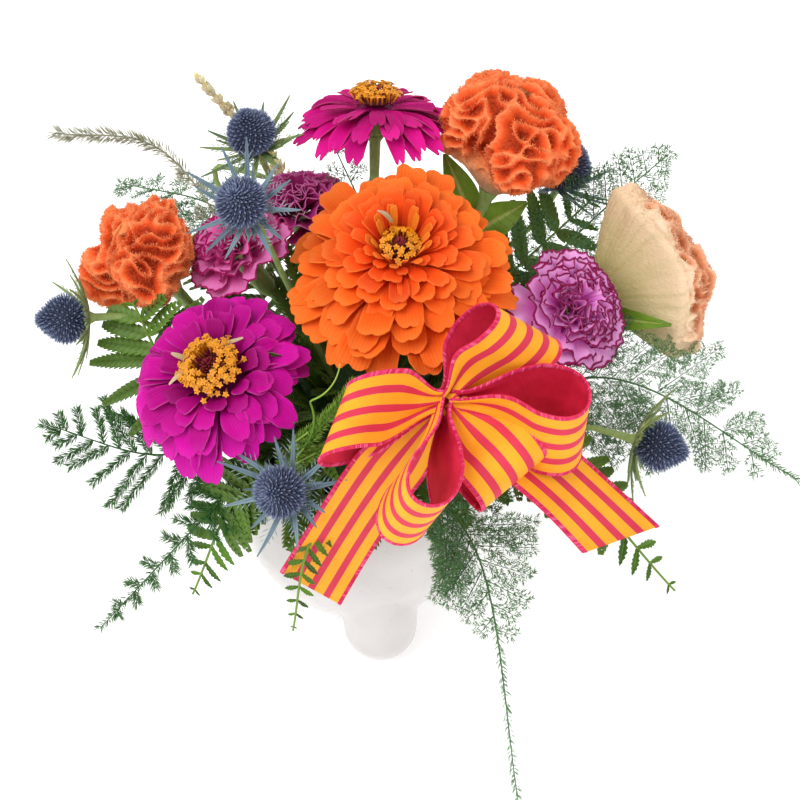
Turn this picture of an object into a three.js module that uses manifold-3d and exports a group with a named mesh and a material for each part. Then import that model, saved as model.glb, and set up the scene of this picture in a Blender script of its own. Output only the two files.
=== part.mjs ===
// A zinnia arrangement: three zinnias with carnations, cockscombs, sea hollies, ferns and a striped
// bow, standing in a floral-foam mound in a round white ceramic bowl on three stub legs.
// Millimetres, +Z up. +X is the viewer's right and -Y is towards the viewer. Positions are given from
// the table under the middle of the bowl; at the end all is moved so that the origin is on the table
// under the middle of the whole arrangement.
import * as THREE from "three";
import { mergeVertices } from "three/addons/utils/BufferGeometryUtils.js";
import Module from "manifold-3d";

const wasm = await Module();
wasm.setup();
const { Vector2, Vector3, Matrix4 } = THREE;
const V = (x, y, z) => new Vector3(x, y, z);

// ---------------------------------------------------------------- driving dimensions

const GAP = 0.3; // clearance between neighbouring pieces
const BLADE = 0.8; // thickness of petals, leaves and ribbon
const CLEAR = 1.2; // how much thicker than itself a piece is when it clears the greenery

const BOWL_RADIUS = 59;
const BOWL_CENTRE_Z = 66;
const BOWL_WALL = 4.5;
const RIM_RADIUS = 54;
const RIM_Z = 118;
const BELLY_TOP_Z = 92; // the wall is upright up to here and then leans in to the rim
const LEG_RADIUS = 17.5;
const LEG_CIRCLE = 39.5;
const LEG_FLAT = 6; // radius of the flat spot that each leg stands on
const LEG_TOP_Z = 54;
const FIRST_LEG_ANGLE = -78.7;

const FOAM_RADIUS = 48; // in the bowl's mouth
const FOAM_TOP_Z = 144;
const FAN_CENTRE = V(0, 0, 105); // the point that all stems radiate from
const STEM_START = 22; // distance from that point to a stem's cut end
const STEM_STRAIGHT = 54; // distance up to which it is straight, outside the foam
const STEM_SPREAD = 15.5; // least angle between two stems, in degrees

// The picture plane of somebody looking down at the flowers at 45 degrees.
const RIGHT = V(1, 0, 0);
const UP = V(0, 1, 1).normalize();
const NEAR = V(0, -1, 1).normalize();
const seen = (right, up, near) =>
  V(0, 0, 0).addScaledVector(RIGHT, right).addScaledVector(UP, up).addScaledVector(NEAR, near);

// ---------------------------------------------------------------- helpers

// Repeatable random numbers from 0 to 1.
function randomFrom(seed) {
  let state = seed;
  return () => {
    state = (state * 1664525 + 1013904223) % 4294967296;
    return state / 4294967296;
  };
}

const lerp = (a, b, t) => a + (b - a) * t;
const smooth = (t) => {
  const c = Math.min(1, Math.max(0, t));
  return c * c * (3 - 2 * c);
};
const polar = (radius, angle, z) => V(radius * Math.cos(angle), radius * Math.sin(angle), z);
const degrees = THREE.MathUtils.degToRad;

// A closed three.js geometry as a solid that can be joined and cut.
function solidOf(geometry) {
  const bare = geometry.index ? geometry.toNonIndexed() : geometry.clone();
  bare.deleteAttribute("normal");
  bare.deleteAttribute("uv");
  const merged = mergeVertices(bare, 1e-4);
  return solidFrom(merged.attributes.position.array, merged.index.array);
}

function solidFrom(positions, indices) {
  return new wasm.Manifold(
    new wasm.Mesh({
      numProp: 3,
      vertProperties: new Float32Array(positions),
      triVerts: new Uint32Array(indices),
    }),
  );
}

function geometryOf(solid) {
  const { numProp, numVert, vertProperties, triVerts } = solid.getMesh();
  const positions = new Float32Array(numVert * 3);
  for (let i = 0; i < numVert; i++) {
    positions.set(vertProperties.subarray(i * numProp, i * numProp + 3), i * 3);
  }
  const geometry = new THREE.BufferGeometry();
  geometry.setAttribute("position", new THREE.BufferAttribute(positions, 3));
  geometry.setIndex(new THREE.BufferAttribute(new Uint32Array(triVerts), 1));
  geometry.computeVertexNormals();
  return geometry;
}

// Joins solids in pairs, which keeps each join small.
function joined(solids) {
  let rest = solids;
  while (rest.length > 1) {
    rest = rest.reduce((pairs, solid, i) => {
      if (i % 2) pairs[pairs.length - 1] = pairs[pairs.length - 1].add(solid);
      else pairs.push(solid);
      return pairs;
    }, []);
  }
  return rest[0];
}

// The outer skin of the biggest body: pockets sealed inside it are filled.
function largest(solid) {
  const bodies = solid.decompose();
  return bodies.reduce((a, b) => (b.volume() > a.volume() ? b : a));
}

const moved = (solid, matrix) => solid.transform(matrix.elements);

// A frame standing at a point with its Z along an axis, turned about it by roll degrees.
function standing(origin, axis, roll = 0) {
  const z = axis.clone().normalize();
  const hint = Math.abs(z.z) > 0.95 ? V(0, 1, 0) : V(0, 0, 1);
  const x = hint.clone().cross(z).normalize().applyAxisAngle(z, degrees(roll));
  const y = z.clone().cross(x);
  return new Matrix4().makeBasis(x, y, z).setPosition(origin);
}

function lathe(profile, segments) {
  const points = profile.map(([r, z]) => new Vector2(r, z));
  return solidOf(new THREE.LatheGeometry(points, segments).rotateX(Math.PI / 2));
}

// A thin blade round a surface of points and triangles, split alike on both faces.
function blade(points, normals, triangles, thickness = BLADE) {
  const positions = [];
  for (const side of [0.5, -0.5]) {
    points.forEach((p, i) => {
      positions.push(...p.clone().addScaledVector(normals[i], side * (thickness[i] ?? thickness)));
    });
  }
  const n = points.length;
  const indices = [];
  const edges = new Map();
  for (const [a, b, c] of triangles) {
    indices.push(a, b, c, n + a, n + c, n + b);
    for (const [from, to] of [[a, b], [b, c], [c, a]]) {
      if (!edges.delete(to + "," + from)) edges.set(from + "," + to, [from, to]);
    }
  }
  for (const [from, to] of edges.values()) indices.push(from, n + from, n + to, from, n + to, to);
  return solidFrom(positions, indices);
}

// A blade over rows of points, such as a petal or a ribbon.
function sheet(rows, thickness = BLADE) {
  const across = rows[0].length;
  const points = rows.flat();
  const normals = points.map((_, k) => {
    const i = Math.floor(k / across);
    const j = k % across;
    const along = rows[Math.min(i + 1, rows.length - 1)][j].clone().sub(rows[Math.max(i - 1, 0)][j]);
    const aside = rows[i][Math.min(j + 1, across - 1)].clone().sub(rows[i][Math.max(j - 1, 0)]);
    return along.cross(aside).normalize();
  });
  const triangles = [];
  for (let i = 0; i + 1 < rows.length; i++) {
    for (let j = 0; j + 1 < across; j++) {
      const a = i * across + j;
      const b = a + across;
      const leansLeft = j < (across - 1) / 2;
      if (leansLeft) triangles.push([a, b, a + 1], [a + 1, b, b + 1]);
      else triangles.push([a, b, b + 1], [a, b + 1, a + 1]);
    }
  }
  return blade(points, normals, triangles, thickness);
}

// The direction of a path at its point i.
const directionAt = (path, i) =>
  path[Math.min(i + 1, path.length - 1)].clone().sub(path[Math.max(i - 1, 0)]).normalize();

// A round bar with a radius of its own at each point of a path.
function bar(path, radii, sides = 5) {
  const positions = [];
  const indices = [];
  let x = null;
  path.forEach((p, i) => {
    const tangent = directionAt(path, i);
    if (!x) x = (Math.abs(tangent.z) > 0.9 ? V(1, 0, 0) : V(0, 0, 1)).cross(tangent).normalize();
    x.addScaledVector(tangent, -x.dot(tangent)).normalize();
    const y = tangent.clone().cross(x);
    for (let k = 0; k < sides; k++) {
      const angle = (2 * Math.PI * k) / sides;
      const out = x.clone().multiplyScalar(Math.cos(angle)).addScaledVector(y, Math.sin(angle));
      positions.push(...p.clone().addScaledVector(out, radii[i]));
    }
  });
  for (let i = 0; i + 1 < path.length; i++) {
    for (let k = 0; k < sides; k++) {
      const a = i * sides + k;
      const b = i * sides + ((k + 1) % sides);
      indices.push(a, b, b + sides, a, b + sides, a + sides);
    }
  }
  const last = (path.length - 1) * sides;
  for (let k = 1; k + 1 < sides; k++) {
    indices.push(0, k + 1, k, last, last + k, last + k + 1);
  }
  return solidFrom(positions, indices);
}

// ---------------------------------------------------------------- bowl and foam

const ROUND = 20; // sides of the bowl and the foam

function bowl() {
  const arc = (radius, steps) =>
    Array.from({ length: steps + 1 }, (_, i) => {
      const angle = (Math.PI / 2) * (i / steps);
      return [radius * Math.sin(angle), BOWL_CENTRE_Z - radius * Math.cos(angle)];
    });
  const inner = BOWL_RADIUS - BOWL_WALL;
  const mouth = RIM_RADIUS - BOWL_WALL;
  const outside = [
    ...arc(BOWL_RADIUS, 5),
    [BOWL_RADIUS - 0.6, BELLY_TOP_Z],
    [RIM_RADIUS, RIM_Z - 1],
    [RIM_RADIUS - 1.2, RIM_Z],
    [0, RIM_Z],
  ];
  const inside = [
    ...arc(inner, 5),
    [inner - 0.6, BELLY_TOP_Z],
    [mouth, RIM_Z - 1],
    [mouth + 0.6, RIM_Z + 1],
    [0, RIM_Z + 1],
  ];
  const cap = [0.4, 1].map((t) => {
    const angle = lerp(Math.asin(LEG_FLAT / LEG_RADIUS), Math.PI / 2, t);
    return [LEG_RADIUS * Math.sin(angle), LEG_RADIUS * (1 - Math.cos(angle))];
  });
  const drop = LEG_RADIUS * (1 - Math.cos(Math.asin(LEG_FLAT / LEG_RADIUS)));
  const leg = lathe([[0, drop], [LEG_FLAT, drop], ...cap, [LEG_RADIUS, LEG_TOP_Z], [0, LEG_TOP_Z]], 10);
  const legs = [0, 1, 2].map((k) => {
    const angle = degrees(FIRST_LEG_ANGLE + 120 * k);
    return moved(leg, new Matrix4().setPosition(polar(LEG_CIRCLE, angle, -drop)));
  });
  return joined([lathe(outside, ROUND), ...legs]).subtract(lathe(inside, ROUND));
}

// ---------------------------------------------------------------- where the flowers stand

// at: the middle of the flower's underside. face: the way it looks. roll: its turn about that, in degrees.
// via: a point that its stem passes on the way.
const head = (at, face, { roll = 0, via } = {}) => ({ at, face, roll, via });
const HEADS = {
  zinnia_orange: head(V(17, 1, 203), V(0, -0.25, 0.97)),
  zinnia_left: head(V(-59, -39, 178), V(-0.27, -0.35, 0.9), { roll: 10 }),
  zinnia_top: head(V(6, 82, 228), V(0.02, 0.38, 0.92)),
  carnation_right: head(V(88, 6, 176), V(0.55, -0.35, 0.75)),
  carnation_top: head(V(-28, 70, 173), V(-0.2, 0.2, 0.95), { roll: 30 }),
  carnation_left: head(V(-53, 34, 183), V(-0.5, -0.05, 0.86), { roll: 70 }),
  celosia_top: head(V(58, 66, 199), V(0.3, 0.2, 0.93)),
  celosia_left: head(V(-87, 32, 171), V(-0.5, -0.05, 0.86)),
  celosia_fan: head(V(103, 34, 161), V(0.86, -0.05, 0.5), { roll: 50 }),
  thistle_front: head(V(-48, 3, 240), V(-0.2, -0.5, 0.84)),
  thistle_top: head(V(-47, 68, 221), V(-0.25, -0.1, 0.96), { roll: 20, via: V(-68, 79, 199) }),
  thistle_far_left: head(V(-121, 0, 180), V(-0.95, -0.2, 0.12)),
  thistle_low: head(V(-31, -79, 153), V(-0.3, -0.7, 0.66), { roll: 48 }),
  thistle_right: head(V(120, -52, 156), V(0.93, -0.32, -0.05)),
  thistle_back: head(V(91, 84, 186), V(0.4, 0.1, 0.9)),
};

// mid and tip: where the frond's rib passes and ends. face: the way its upper side looks. reach: its longest
// side leaf. pairs: how many pairs of side leaves it has room for.
const green = (mid, tip, face, reach, pairs) => ({ mid, tip, face, reach, pairs });
const FERNS = {
  fern_left: green(V(-84, -9, 156), V(-101, 4, 186), V(-0.5, -0.4, 0.8), 38, 7),
  fern_low_left: green(V(-54, -54, 122), V(-77, -66, 70), V(-0.55, -0.8, 0.4), 22, 8),
  fern_front: green(V(-8, -80, 128), V(-27, -82, 80), V(-0.2, -0.9, 0.5), 9, 7),
  fern_right_top: green(V(64, 46, 160), V(106, 74, 186), V(0.1, -0.5, 0.85), 32, 8),
  fern_right_low: green(V(82, -54, 144), V(140, -76, 84), V(0.3, -0.4, 0.8), 26, 8),
  fern_centre: green(V(-20, -52, 146), V(-42, -66, 128), V(-0.3, -0.6, 0.7), 16, 5),
  fern_back_left: green(V(-52, 66, 142), V(-92, 112, 132), V(-0.3, 0.3, 0.9), 30, 7),
  fern_back: green(V(6, 80, 146), V(10, 142, 136), V(0, 0.3, 0.95), 32, 7),
  fern_back_right: green(V(60, 62, 136), V(104, 108, 118), V(0.3, 0.3, 0.9), 30, 7),
};

// The same, each side leaf being a needle plume.
const SPRAYS = {
  spray_top_left: green(V(-92, 82, 208), V(-137, 71, 227), V(0, -0.6, 0.8), 10, 3),
  spray_top: green(V(6, 52, 176), V(-15, 94, 206), V(0, -0.7, 0.7), 24, 2),
  spray_top_right: green(V(102, 57, 184), V(140, 88, 200), V(0, -0.6, 0.8), 34, 3),
  spray_right: green(V(112, -14, 156), V(196, -36, 114), V(0.2, -0.5, 0.8), 56, 4),
  spray_low: green(V(50, -94, 130), V(70, -152, 24), V(0.2, -0.9, 0.3), 42, 4),
  spray_low_left: green(V(-66, -56, 116), V(-121, -66, 46), V(-0.4, -0.8, 0.4), 14, 2),
  spray_left: green(V(-92, -34, 128), V(-139, -24, 136), V(-0.1, -0.6, 0.8), 34, 3),
  spray_back_left: green(V(-66, 96, 158), V(-118, 128, 150), V(-0.2, 0.2, 0.95), 36, 3),
};

const SPIKE = { mid: V(-38, 105, 171), tip: V(-75, 92, 244) };
const KNOT = V(36, -72, 200);

// ---------------------------------------------------------------- flowers, standing on the origin along +Z

// Triangles between two rings of corners [index, angle], the second ring above the first.
function stitch(lower, upper, indices) {
  const order = (ring) => {
    const turned = ring.map(([index, angle]) => [index, THREE.MathUtils.euclideanModulo(angle, 2 * Math.PI)]);
    turned.sort((a, b) => a[1] - b[1]);
    return [...turned, [turned[0][0], turned[0][1] + 2 * Math.PI]];
  };
  const a = order(lower);
  const b = order(upper);
  let i = 0;
  let j = 0;
  while (i + 1 < a.length || j + 1 < b.length) {
    const lowerTurn = j + 1 === b.length || (i + 1 < a.length && a[i + 1][1] <= b[j + 1][1]);
    if (lowerTurn) {
      indices.push(a[i][0], a[i + 1][0], b[j][0]);
      i++;
    } else {
      indices.push(a[i][0], b[j + 1][0], b[j][0]);
      j++;
    }
  }
}

// Petals in rows round a core, all in one closed skin. Neighbours in a row share the notch between them.
// rows: [petals, tip radius, tip height, root height]. outline: corners of half a pitch to each side,
// as [share of the half pitch, share of the way from core to tip, rise]; the first is the notch.
function petalHead({ rows, core, outline, ridge, seed, uneven = 1 }) {
  const random = randomFrom(seed);
  const positions = [];
  const indices = [];
  const corner = (radius, angle, z) => positions.push(...polar(radius, angle, z)) / 3 - 1;
  let below = null;
  rows.forEach(([count, radius, height, root], row) => {
    const half = Math.PI / count;
    const phase = half * (row % 2) + 0.3 * row;
    const thick = BLADE * Math.hypot(1, (height - root) / (radius - core));
    const petals = Array.from({ length: count }, () => ({
      reach: radius * lerp(1 - 0.06 * uneven, 1, random()),
      rise: 1.8 * uneven * (random() - 0.5),
      lean: 0.12 * uneven * (random() - 0.5),
    }));
    const skins = [0, thick].map((lift) => {
      const hubAngle = (k) => phase + 2 * half * k;
      const hub = petals.map((_, k) => [corner(core, hubAngle(k), root + lift), hubAngle(k)]);
      const place = (k, [turn, share, up]) => {
        const { reach, rise, lean } = petals[k % count];
        const angle = phase + half * (2 * k + 1 + turn + lean * (1 - Math.abs(turn)));
        const isNotch = Math.abs(turn) === 1;
        const r = lerp(core, isNotch ? radius : reach, share);
        return corner(r, angle, lerp(root, height, share) + lift + up + (isNotch ? 0 : rise * share));
      };
      const edges = petals.map((_, k) => outline.map((point) => place(k, point)));
      const middles = petals.map((_, k) => place(k, ridge));
      return { hub, edges, middles };
    });
    const [under, over] = skins;
    for (let k = 0; k < count; k++) {
      const next = (k + 1) % count;
      for (const [skin, isOver] of [[under, false], [over, true]]) {
        const rim = [skin.hub[k][0], ...skin.edges[k], skin.edges[next][0], skin.hub[next][0]];
        const m = skin.middles[k];
        rim.forEach((a, i) => {
          const b = rim[(i + 1) % rim.length];
          indices.push(...(isOver ? [a, b, m] : [b, a, m]));
        });
      }
      const low = [...under.edges[k], under.edges[next][0]];
      const high = [...over.edges[k], over.edges[next][0]];
      for (let i = 0; i + 1 < low.length; i++) {
        indices.push(low[i], low[i + 1], high[i + 1], low[i], high[i + 1], high[i]);
      }
    }
    if (below) stitch(below, under.hub, indices);
    else closeRing(under.hub, corner(0, 0, root), indices, false);
    below = over.hub;
  });
  const top = rows[rows.length - 1][3] + BLADE;
  closeRing(below, corner(0, 0, top), indices, true);
  return solidFrom(positions, indices);
}

function closeRing(ring, centre, indices, isTop) {
  ring.forEach(([a], k) => {
    const [b] = ring[(k + 1) % ring.length];
    indices.push(...(isTop ? [a, b, centre] : [b, a, centre]));
  });
}

const ZINNIA_PETAL = [[-1, 0.4, -0.4], [-0.8, 0.85, 0.9], [0, 1, 0], [0.8, 0.88, -0.6]];
const CARNATION_PETAL = [[-1, 0.5, -1], [-0.62, 0.95, 2.4], [0, 0.92, -2.2], [0.62, 1, 2]];
const BRACT = [[-1, 0.12, 0], [0, 1, 0]];

// A ball of ruffled petals in four layers, from flat outer ones to upright inner ones.
function carnationBloom(radius, seed) {
  return petalHead({
    rows: [
      [7, radius, 5, 3],
      [6, radius * 0.9, 13, 6.5],
      [5, radius * 0.68, 20, 10],
      [3, radius * 0.42, 24, 14],
    ],
    core: 4.5,
    outline: CARNATION_PETAL,
    ridge: [0, 0.55, 0.6],
    seed,
    uneven: 1.6,
  });
}

// A cockscomb: a stalk that flares into a crest, its skin winding in deep folds. Each ring: [radius,
// height, fold depth]. The folds bend to and fro from ring to ring. pivot: how far under its foot the rays
// of a fan-shaped crest meet; its width is then measured round that point.
function crest({ rings, folds, flatten, seed, pivot = 0 }) {
  const around = 30;
  const random = randomFrom(seed);
  const positions = [];
  const indices = [];
  rings.forEach(([radius, height, fold], i) => {
    const bend = 0.9 * Math.sin(1.7 * i + seed) + 0.5 * random();
    for (let k = 0; k < around; k++) {
      const angle = (2 * Math.PI * k) / around;
      const wave = Math.sin(folds * angle + bend) + 0.7 * Math.sin((folds - 3) * angle - 2 * bend);
      const r = radius * (1 + fold * wave);
      const z = height + 0.5 * fold * radius * Math.sin((folds - 1) * angle + 1.4 - bend);
      const straight = r * Math.cos(angle);
      const ray = z + pivot;
      const turn = pivot ? straight / ray : 0;
      const x = pivot ? ray * Math.sin(turn) : straight;
      positions.push(x, r * flatten * Math.sin(angle), ray * Math.cos(turn) - pivot);
    }
  });
  const top = rings.length * around;
  positions.push(0, 0, rings[0][1], 0, 0, rings[rings.length - 1][1]);
  for (let k = 0; k < around; k++) {
    const next = (k + 1) % around;
    indices.push(top, next, k);
    for (let i = 0; i + 1 < rings.length; i++) {
      const a = i * around;
      const b = a + around;
      indices.push(a + k, a + next, b + next, a + k, b + next, b + k);
    }
    const last = (rings.length - 1) * around;
    indices.push(top + 1, last + k, last + next);
  }
  return solidFrom(positions, indices);
}

// The egg-shaped head of a sea holly, studded with small florets.
function studdedHead(radius, height, rings = 6, lowest = 0.85) {
  const around = 10;
  const positions = [0, 0, 0];
  const indices = [];
  for (let i = 1; i < rings; i++) {
    const t = i / rings;
    for (let k = 0; k < around; k++) {
      const bump = (i + k) % 2 ? 1.1 : 0.92;
      const angle = (2 * Math.PI * k) / around;
      const r = radius * Math.sin(Math.PI * Math.pow(t, lowest)) * bump;
      positions.push(r * Math.cos(angle), r * Math.sin(angle), height * t);
    }
  }
  positions.push(0, 0, height);
  const end = positions.length / 3 - 1;
  for (let k = 0; k < around; k++) {
    const next = (k + 1) % around;
    indices.push(0, 1 + next, 1 + k);
    for (let i = 0; i + 2 < rings; i++) {
      const a = 1 + i * around;
      const b = a + around;
      indices.push(a + k, a + next, b + next, a + k, b + next, b + k);
    }
    const last = 1 + (rings - 2) * around;
    indices.push(end, last + k, last + next);
  }
  return solidFrom(positions, indices);
}

// Where a side leaf's points lie: t along it from its rib, w to the side of its middle line.
function leafPlacer({ at, along, face, length, sag }) {
  const side = face.clone().cross(along).normalize();
  return {
    up: along.clone().cross(side).normalize(),
    point: (t, w) => {
      const p = at.clone().addScaledVector(along, length * t).addScaledVector(side, w);
      p.z -= sag * length * t * t;
      return p;
    },
  };
}

// The forms of side leaves give their corners and triangles; corners 0 and 1 are the two on the rib.
// A pointed leaf.
function pointedLeaf(spec) {
  const { point, up } = leafPlacer(spec);
  return {
    up,
    corners: [point(0.4, -spec.half), point(0.4, spec.half), point(1, 0)],
    triangles: [[0, 2, 1], [1, 2, 3], [3, 2, 4]],
  };
}

// A needle-edged plume: a slim core with a saw-tooth edge on both sides.
function plume(spec) {
  const { point, up } = leafPlacer(spec);
  const core = 0.8;
  const teeth = 3;
  const corners = [];
  const triangles = [];
  for (let i = 0; i < teeth; i++) {
    const t = (i + 1) / teeth;
    const reach = spec.half * Math.sin(Math.PI * lerp(0.35, 0.8, t));
    const taper = core * (1.1 - 0.7 * t);
    const k = 2 + corners.length;
    const [a, b] = i ? [k - 4, k - 3] : [0, 1];
    corners.push(point(t, -taper), point(t, taper), point(t, -reach - core), point(t, reach + core));
    triangles.push([a, k, b], [b, k, k + 1], [a, k + 2, k], [b, k + 1, k + 3]);
  }
  return { up, corners, triangles };
}

// A free leaf on a short foot of its own.
function looseLeaf(spec, thickness = BLADE) {
  const { point } = leafPlacer(spec);
  const { up, corners, triangles } = spec.form(spec);
  const points = [point(0, -0.3 * spec.half), point(0, 0.3 * spec.half), ...corners];
  return blade(points, points.map(() => up), triangles, thickness);
}

// A flat rib along a path, from corner pairs, with a leaf on one edge of each stretch that has one.
function frond({ path, face, widths, thicknesses, leaves }) {
  const points = [];
  const normals = [];
  const thickness = [];
  const triangles = [];
  path.forEach((p, i) => {
    const tangent = directionAt(path, i);
    const side = face.clone().cross(tangent).normalize();
    const up = tangent.clone().cross(side);
    for (const hand of [-1, 1]) {
      points.push(p.clone().addScaledVector(side, (hand * widths[i]) / 2));
      normals.push(up);
      thickness.push(thicknesses[i]);
    }
  });
  for (let i = 0; i + 1 < path.length; i++) {
    const a = 2 * i;
    triangles.push([a, a + 2, a + 1], [a + 1, a + 2, a + 3]);
  }
  for (const { stretch, hand, leaf } of leaves) {
    const a = 2 * stretch;
    const base = hand > 0 ? [a + 3, a + 1] : [a, a + 2];
    const first = points.length;
    leaf.corners.forEach((corner) => {
      points.push(corner);
      normals.push(leaf.up);
      thickness.push(BLADE);
    });
    for (const triangle of leaf.triangles) triangles.push(triangle.map((k) => base[k] ?? first + k - 2));
  }
  return blade(points, normals, triangles, thickness);
}

// ---------------------------------------------------------------- the bow

// Each loop leaves the knot along dir, opens towards open and has its width along across.
const LOOPS = [
  {
    dir: seen(0.72, 0.7, 0),
    open: seen(0.42, -0.33, 0.84),
    across: seen(0.74, -0.38, -0.55),
    length: 46,
    belly: 11,
  },
  {
    dir: seen(1, -0.18, 0),
    open: seen(-0.1, -0.75, 0.66),
    across: seen(-0.05, -0.65, -0.75),
    length: 58,
    belly: 14,
  },
  {
    dir: seen(-0.97, -0.2, 0.05),
    open: seen(0.05, 0.3, 0.95),
    across: seen(-0.34, -0.85, -0.4),
    length: 48,
    belly: 11,
  },
  {
    dir: seen(0.64, -0.77, 0.1),
    open: seen(0.1, 0.15, 0.98),
    across: seen(-0.72, -0.6, 0.2),
    length: 44,
    belly: 11,
  },
  {
    dir: seen(-0.24, -0.83, 0.5),
    open: seen(-0.94, 0.22, 0.27),
    across: seen(-0.34, -0.47, -0.81),
    length: 60,
    belly: 11,
  },
];
const TAILS = [
  { tip: V(111, -98, 143), across: V(-0.29, -0.93, 0.22), slant: -12 },
  { tip: V(-22, -90, 102), across: V(-0.8, -0.23, 0.55), slant: -5 },
];
const RIBBON_WIDTH = 38;
const KNOT_RADIUS = 7.5;
const KNOT_EDGE = 5; // where the loops and tails leave the knot
const GATHER = 7; // the ribbon's width where it is gathered into the knot
const TAIL_RISE = 7; // how far the tails arch up

function ribbonBow() {
  const knot = solidOf(new THREE.SphereGeometry(KNOT_RADIUS, 7, 4));
  const parts = [moved(knot, new Matrix4().setPosition(KNOT))];
  LOOPS.forEach(({ dir, open, across, length, belly }) => {
    const steps = 8;
    const rows = [];
    for (let i = 0; i <= steps; i++) {
      const t = i / steps;
      const out = Math.sin(Math.PI * t) ** 0.8;
      const lift = lerp(0.17 * (t < 0.5 ? 1 : -1), Math.sin(2 * Math.PI * t), Math.min(1, 1.6 * out));
      const half = 0.5 * lerp(GATHER, RIBBON_WIDTH, smooth(out * 2));
      const centre = KNOT.clone().addScaledVector(dir, lerp(KNOT_EDGE, length, out));
      centre.addScaledVector(open, belly * lift);
      rows.push([-1, 1].map((j) => centre.clone().addScaledVector(across, j * half)));
    }
    parts.push(sheet(rows));
  });
  for (const { tip, across, slant } of TAILS) {
    const steps = 4;
    const along = tip.clone().sub(KNOT).normalize();
    const rows = [];
    for (let i = 0; i <= steps; i++) {
      const t = i / steps;
      const half = 0.5 * lerp(GATHER, RIBBON_WIDTH, smooth(t * 2.4));
      const centre = KNOT.clone().addScaledVector(along, KNOT_EDGE).lerp(tip, t);
      centre.z += TAIL_RISE * Math.sin(Math.PI * t);
      const edge = across.clone().multiplyScalar(half).addScaledVector(along, slant * t);
      rows.push([-1, 1].map((j) => centre.clone().addScaledVector(edge, j)));
    }
    parts.push(sheet(rows));
  }
  return joined(parts);
}

// ---------------------------------------------------------------- stems

// The swelling under each kind of head: [distance below the head's underside, radius].
const CALYXES = {
  zinnia: [[12, 2.6], [5, 7.5], [GAP - 1, 8]],
  carnation: [[24, 2.2], [18, 4.8], [GAP - 3, 5.2]],
  celosia: [[6, 3], [GAP, 5.2]],
  thistle: [[3.5, 1.8], [0.8, 3.2]],
};
const STEM_RADIUS = { zinnia: 2.2, carnation: 1.8, celosia: 2.6, thistle: 1.4 };
const PICK_RADIUS = 1.5;
const LOWEST_STEM = 21; // the least slope at which a stem leaves the foam, in degrees

// Directions from the fan's centre, pushed apart until no two are closer than STEM_SPREAD.
function spreadDirections(targets) {
  const lowest = Math.sin(degrees(LOWEST_STEM));
  const directions = targets.map((p) => p.clone().sub(FAN_CENTRE).normalize());
  const lift = (d) => {
    if (d.z >= lowest) return;
    const flat = Math.hypot(d.x, d.y);
    const scale = Math.sqrt(1 - lowest * lowest) / flat;
    d.set(d.x * scale, d.y * scale, lowest);
  };
  directions.forEach(lift);
  for (let pass = 0; pass < 600; pass++) {
    for (let i = 0; i < directions.length; i++) {
      for (let j = i + 1; j < directions.length; j++) {
        const short = degrees(STEM_SPREAD) - directions[i].angleTo(directions[j]);
        if (short <= 0) continue;
        const apart = directions[j].clone().sub(directions[i]).normalize();
        directions[j].addScaledVector(apart, 0.25 * short).normalize();
        directions[i].addScaledVector(apart, -0.25 * short).normalize();
        lift(directions[i]);
        lift(directions[j]);
      }
    }
  }
  return directions;
}

// A cut end in the foam, straight out of it, and then by way of the waypoints. shares: where along the
// bent stretch, from 0 to 1, the path has its points.
function stemPath(direction, waypoints, shares) {
  const from = (distance) => FAN_CENTRE.clone().addScaledVector(direction, distance);
  const points = [from(STEM_START), from(STEM_STRAIGHT), ...waypoints];
  const curve = new THREE.CatmullRomCurve3(points, false, "centripetal");
  const straight = 1 / (points.length - 1);
  return [from(STEM_START), ...shares.map((share) => curve.getPoint(lerp(straight, 1, share)))];
}

const evenShares = (count) => Array.from({ length: count }, (_, i) => i / (count - 1));

const kindOf = (name) => name.split("_")[0];
// A point at a depth below a head's underside, on its axis.
const below = (name, depth) =>
  HEADS[name].at.clone().addScaledVector(HEADS[name].face.clone().normalize(), -depth);
const neckOf = (name) => below(name, CALYXES[kindOf(name)][0][0]);

// ---------------------------------------------------------------- materials

const PAINTS = {
  bowl_glaze: ["#eeeeec", 0.35],
  floral_foam: ["#3f6a3c", 0.95],
  orange_petals: ["#ff7a1c", 0.7],
  magenta_petals: ["#d0109a", 0.7],
  flower_disc: ["#e8a020", 0.85],
  lilac_petals: ["#dc74c4", 0.7],
  wine_petals: ["#b01c82", 0.7],
  pink_petals: ["#dd5cae", 0.7],
  comb_orange: ["#ee6a2c", 0.9],
  comb_cream: ["#dcc996", 0.85],
  thistle_blue: ["#5460a0", 0.85],
  bract_blue_green: ["#7f93a4", 0.75],
  stem_green: ["#6f9a45", 0.7],
  fern_green: ["#2f6a22", 0.6],
  asparagus_green: ["#3f7a4c", 0.7],
  spike_cream: ["#dcc48a", 0.85],
  ribbon_cloth: ["#f6a12c", 0.6],
  pick_wood: ["#b98f5c", 0.8],
};

const paints = {};
for (const [name, [color, roughness]] of Object.entries(PAINTS)) {
  paints[name] = new THREE.MeshStandardMaterial({ name, color, roughness });
}

// ---------------------------------------------------------------- the heads

// rows as for petalHead.
const zinnia = (core, seed, rows) =>
  petalHead({ rows, core, outline: ZINNIA_PETAL, ridge: [0, 0.62, 0.9], seed });

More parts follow.
